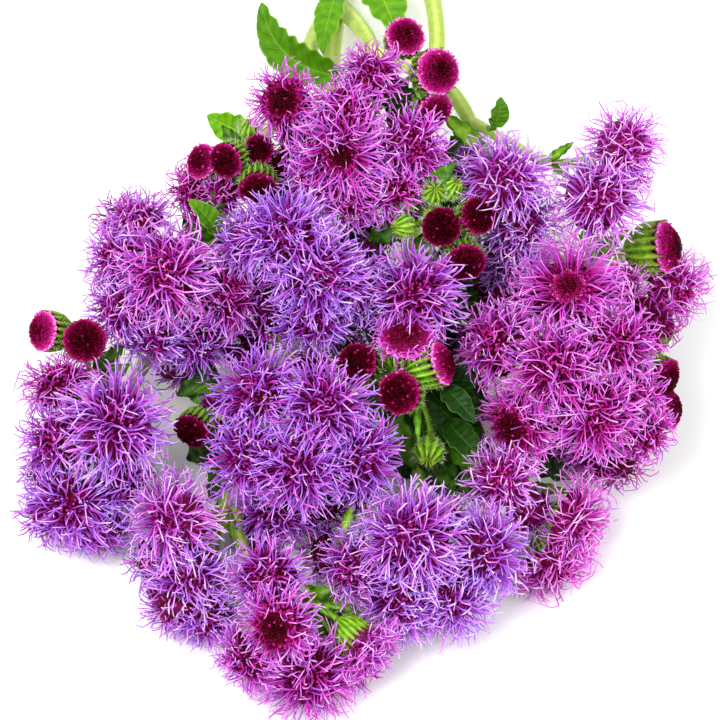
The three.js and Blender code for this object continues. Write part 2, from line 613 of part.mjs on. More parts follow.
// Three walls between two triangles that look at each other, their corners paired the nearest way.
function wallsBetween(near, far) {
  const back = [far[0], far[2], far[1]];
  const turned = [0, 1, 2].map((turn) => back.map((_, k) => back[(k + turn) % 3]));
  const length = (corners) => corners.reduce((sum, corner, k) => sum + corner.distanceTo(near[k]), 0);
  const best = turned.reduce((least, corners) => (length(corners) < length(least) ? corners : least));
  return [0, 1, 2].flatMap((k) => {
    const next = (k + 1) % 3;
    return [near[k], near[next], best[next], near[k], best[next], best[k]];
  });
}

// One spray's florets: each head's tuft, grown together with its nearest neighbours.
function floretsGeometry(heads, seed) {
  const random = seededRandom(seed);
  const domes = new Map(heads.map((head) => [head, domeInPlace(head, head.core)]));
  const links = nearestLinks(heads);
  const walls = links.flatMap(({ from, to }) => {
    const [near, far] = [domes.get(from), domes.get(to)];
    const way = to.seat.clone().sub(from.seat).normalize();
    const faces = [facingFace(near, way), facingFace(far, way.clone().negate())];
    near.open.add(faces[0]);
    far.open.add(faces[1]);
    return wallsBetween(
      DOME.faces[faces[0]].map((v) => near.corners[v]),
      DOME.faces[faces[1]].map((v) => far.corners[v]),
    );
  });
  const tufts = heads.flatMap((head) => {
    const partners = links.filter(({ from, to }) => from === head || to === head)
      .map(({ from, to }) => (from === head ? to : from));
    const leans = partners.map((other) => other.seat.clone().sub(head.seat).normalize());
    const dome = domes.get(head);
    return [...tuftTriangles(dome, leans, random), ...domeFoot(dome)];
  });
  return new THREE.BufferGeometry().setFromPoints([...tufts, ...walls]);
}

// A bud's dome: a flattened half ball of unopened florets.
function budGeometry(head) {
  const dome = domeInPlace(head, head.cupRim * BUD_DOME.wide, BUD_DOME.tall);
  const skin = DOME.faces.flatMap((face) => face.map((v) => dome.corners[v]));
  return new THREE.BufferGeometry().setFromPoints([...skin, ...domeFoot(dome)]);
}

// ---------- Leaves ----------

// A leaf's cross rows from its stalk's root to the blade's tip: its rib, the way it runs, its half width.
function leafRows(leaf) {
  const [base, tip] = [onFace(leaf.base), onFace(leaf.tip)];
  const along = tip.clone().sub(base);
  const blade = along.clone().normalize();
  const root = petioleRoot(new THREE.Vector3(...leaf.from), base);
  const lead = Math.min(PETIOLE.lead, root.distanceTo(base) / 2);
  const petiole = new THREE.QuadraticBezierCurve3(root, base.clone().addScaledVector(blade, -lead), base);
  const rows = [];
  for (let i = 0; i < PETIOLE.steps; i += 1) {
    const [spine, way] = [petiole.getPoint(i / PETIOLE.steps), petiole.getTangent(i / PETIOLE.steps)];
    rows.push({ spine, way, half: PETIOLE.width / 2, rise: 0, wave: 0 });
  }
  const steps = 2 * leaf.teeth;
  for (let i = 0; i <= steps; i += 1) {
    const t = i / steps;
    const past = BLADE.start + (1 - BLADE.start) * t;
    const outline = Math.sin(Math.PI * past ** BLADE.lean) ** BLADE.round || 0;
    const notched = i % 2 === 0;
    rows.push({
      spine: base.clone().addScaledVector(along, t),
      way: blade,
      half: Math.max((leaf.width / 2) * outline * (notched ? BLADE.notch : BLADE.tooth), PETIOLE.width / 2),
      rise: leaf.arch * 4 * t * (1 - t),
      wave: (notched ? BLADE.wave : -BLADE.wave) * outline,
    });
  }
  return rows;
}

// A leaf: its stalk and toothed blade in one thin folded sheet, split alike on both faces.
function leafGeometry(leaf) {
  const faces = { top: [], under: [] };
  const rows = leafRows(leaf);
  let up = onFace(leaf.look);
  rows.reverse().forEach((row) => {
    up = up.clone().addScaledVector(row.way, -up.dot(row.way)).normalize();
    row.up = up;
  });
  rows.reverse().forEach(({ spine, way, half, rise, wave, up: lift }) => {
    const side = way.clone().cross(lift);
    const middle = spine.clone().addScaledVector(lift, rise);
    const fold = half > PETIOLE.width / 2 ? leaf.fold : 0;
    const edge = (sign) => middle.clone()
      .addScaledVector(side, sign * half * Math.cos(fold))
      .addScaledVector(lift, half * Math.sin(fold) + wave);
    [edge(-1), middle, edge(1)].forEach((point) => {
      faces.top.push(point.clone().addScaledVector(lift, BLADE.thickness / 2));
      faces.under.push(point.clone().addScaledVector(lift, -BLADE.thickness / 2));
    });
  });
  return bladeGeometry(faces, rows.length);
}

// Where a leaf's stalk starts: at the stem point nearest to a given one, just clear of the stem.
function petioleRoot(near, base) {
  const distance = ({ a, b }) => distanceToSegment(near, a, b);
  const segment = stemSegments.reduce((best, next) => (distance(next) < distance(best) ? next : best));
  const line = new THREE.Line3(segment.a, segment.b);
  const root = line.closestPointToPoint(near, true, new THREE.Vector3());
  const way = base.clone().sub(root).normalize();
  const blocked = () => stemSegments.some(({ a, b, radius }) => (
    distanceToSegment(root, a, b) < radius + PETIOLE.width / 2 + NEIGHBOUR_GAP / 2));
  while (blocked()) root.addScaledVector(way, PETIOLE.march);
  return root;
}

// The closed sheet between the rows' upper and lower corners.
function bladeGeometry({ top, under }, stations) {
  const count = top.length;
  const index = [];
  const quad = (a, b, c, d) => index.push(a, b, c, a, c, d);
  for (let i = 0; i + 1 < stations; i += 1) {
    const row = 3 * i;
    for (let k = 0; k < 2; k += 1) {
      const [a, b, c, d] = [row + k, row + k + 1, row + k + 4, row + k + 3];
      index.push(a, b, c, a, c, d);
      index.push(count + a, count + c, count + b, count + a, count + d, count + c);
    }
    quad(row, row + 3, count + row + 3, count + row);
    quad(row + 5, row + 2, count + row + 2, count + row + 5);
  }
  const last = 3 * (stations - 1);
  for (let k = 0; k < 2; k += 1) {
    quad(k + 1, k, count + k, count + k + 1);
    quad(last + k, last + k + 1, count + last + k + 1, count + last + k);
  }
  const geometry = new THREE.BufferGeometry().setFromPoints([...top, ...under]);
  geometry.setIndex(index);
  return geometry;
}

// ---------- Assembly ----------

const ageratum = new THREE.Group();
const bunch = new THREE.Group();
bunch.position.set(-CENTRE.x, -CENTRE.y, 0);
ageratum.add(bunch);

function addPiece(name, geometry, colour, roughness) {
  const material = new THREE.MeshStandardMaterial({ color: colour, roughness, metalness: 0 });
  const mesh = new THREE.Mesh(geometry, material);
  mesh.name = name;
  bunch.add(mesh);
}

const stemWithGap = stemSolid(NEIGHBOUR_GAP);
addPiece('main_stem', toGeometry(stemSolid(0)), COLOURS.stem, 0.6);

Object.entries(placed).forEach(([letter, heads]) => {
  addPiece(`spray_${letter}_stalks`, toGeometry(stalksSolid(heads, stemWithGap)), COLOURS.stalk, 0.65);
  const blooms = heads.filter((head) => head.blooms);
  if (blooms.length > 0) {
    const tone = COLOURS[SPRAYS[letter].tone];
    addPiece(`spray_${letter}_florets`, floretsGeometry(blooms, letter.charCodeAt(0)), tone, 0.8);
  }
  heads.filter((head) => head.kind === 'bud').forEach((head) => {
    addPiece(`bud_${head.key}`, budGeometry(head), COLOURS.bud, 0.85);
  });
});

LEAVES.forEach((leaf, i) => {
  addPiece(`leaf_${i + 1}`, leafGeometry(leaf), COLOURS.leaf, 0.55);
});

export default ageratum;
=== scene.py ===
"""Ageratum: one cut flowering top, lying down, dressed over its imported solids.

The heads lie on a flower face that leans back from upright, and each has a place across and up that face.
Every part of the plant is a surface worked out with numpy, in millimetres: rings of points carried along a
path or an axis and closed at both ends. Stems and stalks are tubes along curves, cups are ribbed lathes,
florets, style threads, bud granules and hairs are small shapes spread over a dome, and leaves are flat loops
carried along a rib. Each piece has one map of its own: its first number runs from root to tip, and its second
holds a band for each finish, so that one material paints the whole piece.
"""

import math
from functools import partial
from types import SimpleNamespace as Numbers

import bpy
import numpy as np
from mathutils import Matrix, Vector


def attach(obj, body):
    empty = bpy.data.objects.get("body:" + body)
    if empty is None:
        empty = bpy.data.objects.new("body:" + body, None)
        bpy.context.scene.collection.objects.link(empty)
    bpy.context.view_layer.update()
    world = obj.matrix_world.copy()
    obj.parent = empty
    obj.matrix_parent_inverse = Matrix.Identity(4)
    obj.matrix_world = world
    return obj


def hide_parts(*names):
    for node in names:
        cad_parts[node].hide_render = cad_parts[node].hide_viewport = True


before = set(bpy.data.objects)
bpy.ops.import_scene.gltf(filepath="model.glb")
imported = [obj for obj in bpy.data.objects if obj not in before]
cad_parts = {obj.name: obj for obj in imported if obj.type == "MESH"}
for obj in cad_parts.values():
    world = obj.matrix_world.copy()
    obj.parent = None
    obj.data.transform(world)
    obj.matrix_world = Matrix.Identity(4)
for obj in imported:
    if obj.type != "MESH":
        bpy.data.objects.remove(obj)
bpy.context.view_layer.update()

# ---------- Driving dimensions, in millimetres unless named otherwise ----------

MM = 0.001
FACE_TILT = math.radians(60)
CENTRE = np.array([1.5, 25.4, 0.0])
FACE = np.array([
    [1.0, 0.0, 0.0],
    [0.0, math.sin(FACE_TILT), math.cos(FACE_TILT)],
    [0.0, -math.cos(FACE_TILT), math.sin(FACE_TILT)],
])
GOLDEN_ANGLE = math.pi * (3 - math.sqrt(5))
ANY_TURN = 6.3  # in radians, a little more than once round

MAIN_RADIUS = 2.4
MAIN_HEIGHT = MAIN_RADIUS * math.cos(math.pi / 8)
HUB = Numbers(radius=1.35, rise=1.35, steps=7, sides=10)
STALK = Numbers(root=0.36, middle=0.42, neck=0.58, sides=7, steps=9)
OPEN_CUP = Numbers(height=4.65, rim=2.7, of_core=0.85)
CUP = Numbers(
    ribs=18, sides=36, swell=3.2, steps=(0.0, 0.12, 0.3, 0.55, 0.8, 1.0), rib_depth=0.16,
    point=(0.2, 0.3), rim=(1.02, 0.08), inside=0.9, inside_height=0.97)
BUD_CUP_HEIGHT = 1.5
CLOSED_HEIGHT = 1.6
CLOSED = Numbers(
    steps=(0.0, 0.12, 0.3, 0.5, 0.7, 0.88, 1.05, 1.2, 1.1),
    outline=(0.33, 0.7, 0.9, 0.95, 0.9, 0.78, 0.58, 0.36, 0.1),
    points=(0.0, 0.0, 0.0, 0.0, 0.02, 0.06, 0.14, 0.3, 0.0), rib_depth=0.22)
SEAT_DEPTH = {"open": 2.5, "aside": 2.5, "half": 2.2, "ring": 2.2, "bud": 1.0, "closed": 0.0, "under": 2.5}
SEAT_LIFT = 0.15
CORE = Numbers(most=3.2, share=0.45)
BUD_DOME = Numbers(wide=0.97, tall=0.82, heart=0.86, lowest=0.02, glow=(0.14, 0.7))
RIDGE = 0.045
SWELL = Numbers(more=0.18, fades=3.0)

# A thread's radius, spread, bend and looseness go by its head's hue: violet's own, and what magenta adds.
# shade_under darkens the threads of tucked-in heads as painted shade, and pale_lift lifts a spray painted
# paler towards the threads' pale tips as painted light.
THREAD = Numbers(
    radius=(0.134, 0.119 - 0.134), spread=(0.3, 0.12), bend=(0.27, 0.11), loose=(0.11, 0.13),
    per_size=16.5, under_per_size=9, lowest=-0.5, wobble=0.05, least_spread=0.04, wider_middle=0.35,
    from_core=0.95, reach=1.1, uneven_reach=(0.66, 1.0, 1.12), shorter_middle=0.3,
    above_floor=0.2, clear=0.25, thick=(0.62, 0.045), uneven_thick=(0.75, 1.25),
    taper=((0, 0.3, 0.9, 1), (0.7, 1, 0.95, 0.5)),
    uneven_pale=(0.6, 1.05), shade_under=0.6, pale_lift=0.8, less_warm=0.88, uneven_hue=0.24)
HANDLE = Numbers(out=0.38, back=0.3, bent=0.8, forward=0.12)
# A floret's shades are dark at its foot, bright at its mouth and darker in its dimple: painted shade down
# among the florets and in each mouth.
FLORET = Numbers(
    crowd=12.5, lowest=0.15, wobble=0.06, top=(0.9, 1.2), long=0.9, dimple=0.16,
    neck=0.14, mouth=(0.24, 0.38), throat=0.12,
    shades=(0.1, 0.85, 1.0), uneven_shade=(0.7, 1.0), uneven_hue=0.18)
# The cushion is painted dark plum, low in the granule band: painted shade among a head's threads.
CUSHION = Numbers(low=0.3, skirt=0.66, skirt_under=0.84, uneven=0.06, sides=14, glow=(0.05, 0.35))
# A granule's shades put its foot in the dark gap colour: painted shade between the granules.
GRANULE = Numbers(
    room=0.17, wobble=0.1, sunk=0.88, long=0.5, longer_at_rim=0.75, uneven_long=(0.75, 1.2),
    steps=(0.0, 0.78, 1.0), radii=(0.2, 0.235, 0.1), uneven_radii=(0.8, 1.15), shades=(0.3, 0.9),
    specks=0.025, speck_glow=0.36, rim_glow=0.34, uneven_glow=0.06)
HAIR = Numbers(
    radius=0.035, on_open_cup=50, on_bud_cup=220, along_stalk=5.0, along_stem=9.0, above_floor=0.05,
    cup_length=(0.6, 1.4), cup_lean=(0.1, 0.9), wobble=0.25, tube_length=(0.35, 0.95), tube_lean=(0.15, 0.3))
BRACT = Numbers(arch=0.45, tooth=0.14, cupped=0.45, thick=0.2)
FORK_BRACT = Numbers(most=4, wobble=0.45, starts=0.8, reach=(4.5, 7), width=(0.9, 1.5))
PETIOLE = Numbers(steps=8, half=0.5, lead=2.5, thick=0.8)
BLADE = Numbers(thick=0.34, wave=0.25, notch=0.88, tooth=1.05, start=0.07, lean=0.8, round=0.75)
VEIN = Numbers(rib=0.10, rib_width=0.07, side=0.07, side_width=0.1, between=0.05, slant=0.8)

# ---------- Stem and branch routes: x right, y away, z up, radius, and the fork each one ends at ----------

MAIN = [
    (-2, 118, MAIN_HEIGHT, MAIN_RADIUS),
    (-2.6, 90, MAIN_HEIGHT, MAIN_RADIUS),
    (-3.2, 77, MAIN_HEIGHT + 0.7, 2.2),
    (-4, 63, 5, 2.0),
]

BRANCHES = [
    ("k", [(-4, 63, 5, 1.5), (-7, 54, 10, 1.35), (-10, 44, 13, 1.3), (-18, 28, 12, 1.2),
           (-27, 10, 10, 1.1), (-35, -8, 7, 1.0)]),
    ("b", [(-14, 36, 12.5, 0.9), (-17, 27, 18, 0.85)]),
    ("l", [(-24, 16, 11, 0.9), (-28, 8, 14, 0.9)]),
    ("m", [(-4, 63, 5, 1.5), (-5, 45, 8, 1.35), (-8, 20, 7, 1.3), (-13, -5, 6, 1.2),
           (-19, -25, 6, 1.1), (-18, -38, 7, 1.0), (-12, -44, 8, 0.9)]),
    ("t", [(-19, -25, 6, 0.9), (-20.6, -29, 7, 0.85)]),
    ("c", [(-6, 30, 8, 0.9), (-7, 16, 15, 0.85)]),
    ("j", [(-11, 3, 7, 0.9), (-10, -10, 10, 0.85)]),
    ("a", [(-4, 63, 5, 1.5), (0, 54, 12, 1.35), (2, 46, 17, 1.2), (1, 35, 24, 1.0)]),
    ("h", [(2, 46, 17, 0.9), (7, 26, 24, 0.85)]),
    ("n", [(-3, 84, 2.9, 1.5), (5, 75, 4.6, 1.45), (10.6, 65, 7, 1.35), (12.2, 55, 9, 1.25),
           (11.5, 44, 10, 1.3), (9, 28, 9, 1.2), (8, 5, 8, 1.1), (9, -20, 6, 1.0)]),
    ("g", [(8.5, 12, 8, 0.9), (8, -3, 14, 0.85)]),
    ("u", [(9, -10, 7, 0.9), (16, -20, 7, 0.85)]),
    ("q", [(2, 46, 17, 1.3), (9, 41, 20, 1.2), (14.6, 35.4, 22, 1.2), (18.5, 27, 22, 1.1),
           (24, 14, 18, 1.0), (31, 2, 15, 0.95)]),
    ("r", [(20, 22, 21, 0.85), (21, 17, 22, 0.8)]),
    ("s", [(16.5, 31, 22, 0.85), (24, 23, 27, 0.8)]),
    ("p", [(26.5, 10, 17, 0.85), (32, 9, 15.5, 0.8)]),
]

# ---------- Sprays: the fork, how far the heads stand from it, and the heads themselves ----------


def head(kind, across, up, size, hue, lift=0.0, face=None, bow=0.45, core=None, lowest=THREAD.lowest,
         middle=0.34):
    """One head's numbers: hue runs from violet (0) to magenta (1), face turns it across and up.

    lowest is how far below its middle its threads still spring, as the height of a unit direction.
    middle is how bright the shut florets in the middle of a half-open head are.
    """
    return Numbers(kind=kind, at=np.array([across, up]), size=size, hue=hue, lift=lift, face=face, bow=bow,
                   core=core, lowest=lowest, middle=middle)


opened = partial(head, "open")
halfway = partial(head, "half")
bud = partial(head, "bud")
shut = partial(head, "closed")
under = partial(head, "under")

SPRAYS = {
    "a": ((0, 36, 14.4), 19, [
        halfway(-12, 40, 6.2, 0.80, face=(-0.25, 0.15)), opened(2, 45, 5.8, 0.74),
        opened(-2.5, 38, 6.5, 0.80), halfway(-3, 31.5, 8.5, 0.76, core=2.4), opened(8.5, 32.5, 7, 0.68),
        opened(5.5, 25.5, 6.5, 0.76), opened(-7.5, 27, 6, 0.60), opened(-2.5, 24, 6.5, 0.62),
        bud(7, 50, 2.9, 0.9, face=(0.2, 0.35)), bud(12, 44.5, 3.5, 0.95, lift=1, face=(0.45, 0.05)),
        bud(11.5, 38.5, 2.8, 0.70, lift=-4, face=(0.4, -0.5))]),
    "b": ((-18.5, 28.5, 13), 11, [
        opened(-28, 25.4, 5, 0.85, lift=-1), opened(-22.3, 24.4, 4.2, 0.70, lift=-2),
        bud(-24.7, 30.8, 2.6, 0.80, lift=-2.5, face=(-0.6, 0.2)),
        bud(-20.8, 30.8, 2.6, 0.30, lift=1.5, face=(-0.5, -0.3)),
        bud(-15.8, 32.5, 2.2, 0.35, lift=-0.5, face=(-0.1, 0.1)),
        bud(-15.7, 26.3, 2.9, 0.20, lift=2, face=(0, -0.6)),
        bud(-12, 30, 1.9, 0.20, lift=-1.5, face=(0.5, 0)), shut(-17, 36.5, 1.6, 0.5)]),
    "c": ((-9, 14, 20.5), 15, [
        opened(-11.5, 19.5, 8.5, 0.10), opened(-6, 13, 8.5, 0.16), opened(-7.5, 5.5, 7, 0.06, face=(0, -0.6)),
        opened(-18, 19.5, 6.5, 0.20), opened(0.5, 10.5, 6, 0.24)]),
    "l": ((-29.5, 10.5, 15.4), 15, [
        opened(-30, 14, 9, 0.68), opened(-35.5, 23, 6.3, 0.54), opened(-38.5, 16.5, 6.5, 0.46),
        opened(-19, 10, 7.5, 0.66), opened(-38.5, 7.5, 6, 0.44), opened(-32, 2.5, 6.5, 0.20, lift=-4),
        opened(-24, 2, 6.8, 0.16, lift=-4)]),
    "k": ((-41, -14, 19), 16.5, [
        opened(-37, -9.2, 9.3, 0.32), opened(-47.9, -12, 6.8, 0.34, lift=-5),
        opened(-45.4, -23.8, 8.3, 0.20, lift=-4), opened(-36, -20.5, 6, 0.14, lift=-6),
        opened(-47.4, -2.1, 6.7, 0.78, lift=-5), opened(-40.5, -28, 6.3, 0.22, lift=-4.8),
        bud(-49, 4.5, 3, 1.05, lift=6, face=(-0.75, 0.05)),
        bud(-42.5, 3, 3.2, 0.30, lift=8, face=(0, 0.05))]),
    "t": ((-21.5, -25, 23.7), 13, [
        opened(-30, -24.5, 8.5, 0.58), opened(-26.5, -34, 8, 0.28, face=(-0.2, -0.3)),
        opened(-24, -41, 6.2, 0.30, lift=6.7, face=(-0.1, -0.6))]),
    "m": ((-8, -37, 32), 13.5, [
        opened(-14.5, -33, 6.8, 0.5, lift=-4, face=(-0.15, 0.15)), halfway(-13, -41, 6.6, 0.72, lift=-1),
        opened(-7.8, -49.6, 8.5, 0.76, face=(0, -0.5)),
        head("aside", 1.5, -44.5, 7, 0.74, lift=-1, face=(0.7, -0.66), lowest=0.3),
        opened(-18.6, -47.3, 6.4, 0.66, lift=3)]),
    "n": ((9.5, -31, 26.6), 15, [
        opened(7.5, -26.5, 9.2, 0.36), opened(-2.5, -32, 6.8, 0.46), opened(5.5, -37.6, 8, 0.28, lift=-3.5),
        opened(15, -37.4, 8.2, 0.18, lift=-4), opened(21, -29, 8, 0.30)]),
    "u": ((24, -21.5, 21.6), 12.5, [
        opened(21.5, -17.5, 6.5, 0.66), opened(34.7, -25.9, 7.8, 1.0, lift=-2),
        opened(30.7, -33.1, 7.3, 1.0, lift=1.5)]),
    "q": ((34, -3.5, 21.3), 17, [
        halfway(32, 11.5, 9, 0.84, lift=5, face=(-0.05, 0.42), core=2.7, middle=0.75),
        opened(20, 3.5, 7.8, 0.78, lift=3), opened(40, 3.5, 7.5, 0.82), opened(29.5, -1, 8.5, 0.86),
        opened(36.5, -9, 8, 0.86), halfway(23.5, -10.5, 7, 0.90), opened(43, -6, 6.2, 0.82, lift=-3),
        opened(45.5, -12.5, 5.5, 0.90), opened(37.5, -16.5, 6.5, 0.74, lift=-13),
        bud(47, -3, 3.2, 0.45, lift=-6, face=(0.75, -0.4)),
        bud(48, -7.5, 3.1, 0.85, lift=-8, face=(0.93, 0.1))]),
    "p": ((38, 15.5, 7.2), 12.6, [
        opened(50, 10.9, 6.8, 0.94, lift=6, face=(0.6, -0.2)), opened(41, 10.5, 4.8, 0.90),
        bud(47.5, 17.5, 4, 0.80, face=(0.93, 0.08))]),
    "r": ((22, 22, 15), 14, [
        opened(22, 29, 7.8, 0.34), opened(25.5, 20.8, 7, 0.24, lift=-5),
        opened(23.5, 14.5, 7, 0.30, lift=-7)]),
    "s": ((28.5, 30.5, 20.5), 12, [
        opened(41.2, 33.4, 6.8, 0.66, lift=6, face=(0.2, 0.15)),
        opened(36.8, 24.7, 8.1, 0.58, face=(0, -0.1)),
        opened(42.8, 27.8, 4.5, 0.64, lift=2.5, face=(0.6, -0.2))]),
    "h": ((11, 22.5, 25), 7, [
        bud(12.5, 20.5, 2.8, 0.0, face=(0, 0)), bud(18.2, 22.2, 2.7, 0.15, lift=4.5, face=(0.5, 0.15)),
        bud(16.3, 15, 2.9, 0.2, lift=5, face=(0.15, -0.45)), shut(14.5, 27, 1.9, 0.3, face=(0.5, 0.5)),
        shut(11.5, 26, 1.7, 0.2, face=(0.1, 0.3)), shut(6, 20.5, 1.8, 0.5, face=(-0.8, -0.1))]),
    "g": ((7, -1.5, 28), 9.5, [
        opened(8.5, 11, 8.5, 0.42, lift=4.5, face=(0, 0.35)),
        head("ring", 7, 4, 5.2, 0.98, face=(0, 0.76), core=3.4, lowest=0.1),
        bud(-0.5, -0.5, 3.1, 0.20, face=(-0.35, 0.25)), bud(6, -5, 3.2, 0.25, face=(-0.35, 0)),
        bud(12.5, -0.5, 3.3, 0.85, face=(0.9, 0.25)), shut(10.5, -15, 2.4, 0.7, lift=-2, face=(-0.1, -0.6))]),
    "j": ((-9, -12, 26.3), 15.5, [
        opened(-16.5, -4, 8, 0.26), opened(-5, -6.5, 8.3, 0.34), opened(-18, -15.5, 7.8, 0.24),
        opened(-9.5, -17, 8.3, 0.22), opened(1, -15.5, 7.8, 0.22), opened(-13.8, -25.5, 6.9, 0.20, lift=-5),
        bud(-26, -11, 2.7, 0.15, lift=-1, face=(-0.4, -0.55), bow=0)]),
}

# ---------- Painted light and shade per spray: how pale its threads and cushion are painted, where it isn't 1 ---

SPRAY_PAINTED_LIGHT = {"c": 0.95, "j": 0.9, "k": 0.97, "l": 1.04, "n": 1.07,
        "p": 1.2, "r": 1.14, "s": 1.22, "t": 1.14, "u": 1.18}

# ---------- How lime a spray's cups are, where they aren't a deep green ----------

LIME = {"h": 0.2, "m": 0.45, "p": 0.4}

# ---------- Heads tucked in under a spray, seen only between the others, with darker threads and a wide dark cushion as painted shade ---

TUCKED = {
    "l": [under(-26.5, -3.5, 5.5, 0.16, lift=-9), under(-37.5, 3.5, 4.5, 0.15, lift=-7),
          under(-27, 14, 5, 0.3, lift=-6), under(-38.5, 24.3, 4.8, 0.5, lift=-5)],
    "c": [under(-15, 4.5, 5.5, 0.14, lift=-7), under(-1, 3.5, 5, 0.2, lift=-6),
          under(-19, 2.4, 5, 0.2, lift=-9, face=(-0.2, -0.2)), under(4, 16.5, 4.5, 0.2, lift=-8),
          under(-20.5, 18, 4.5, 0.3, lift=-7), under(-13.4, 10.4, 5, 0.15, lift=-8, face=(0, 0))],
    "j": [under(-7, 1.5, 4.5, 0.2, lift=-6), under(-5, -25, 5.5, 0.3, lift=-9),
          under(2, -21.5, 4.5, 0.25, lift=-6), under(0.5, 2.5, 4.5, 0.2, lift=-8),
          under(-22, -8.4, 4.6, 0.2, lift=-14, face=(-0.2, 0))],
    "t": [under(-34, -33, 5.4, 0.3, lift=1), under(-30, -40.6, 5.4, 0.34, lift=5),
          under(-16, -27.4, 4.6, 0.28, lift=-14, face=(0, -0.1))],
    "k": [under(-49.6, -26.6, 5.4, 0.25, lift=-4), under(-50.2, -19, 5.2, 0.25, lift=-8)],
    "r": [under(19.2, 10.6, 5.5, 0.16, lift=-9, face=(0, -0.2)), under(15.5, 32, 4.5, 0.3, lift=-6)],
    "q": [under(15.5, 4.5, 4.5, 0.6, lift=-5), under(29, -13, 5.2, 0.7, lift=-13),
          under(45.6, 6, 5.2, 0.75, lift=-6, face=(0.3, 0.1)), under(34, 4.5, 5, 0.7, lift=-6),
          under(41.2, -18.4, 5.2, 0.75, lift=-6), under(23.4, 8.6, 4.5, 0.5, lift=-6, face=(-0.1, 0.1))],
    "a": [under(-12, 33, 5, 0.6, lift=-5), under(12, 28, 4.5, 0.5, lift=-7)],
    "n": [under(14, -22.5, 5, 0.3, lift=-6), under(-8, -29.4, 5, 0.4, lift=-4)],
    "m": [under(1, -49, 4.8, 0.85, lift=1), under(-12.5, -50, 5, 0.8, lift=1)],
    "u": [under(27, -24.5, 4.5, 0.6, lift=-6)],
}

# ---------- Leafy bracts: base and tip on the flower face, width, and how fresh a green; near 0 it is a near-black green, painted shade in the deep gaps between the flowers ---

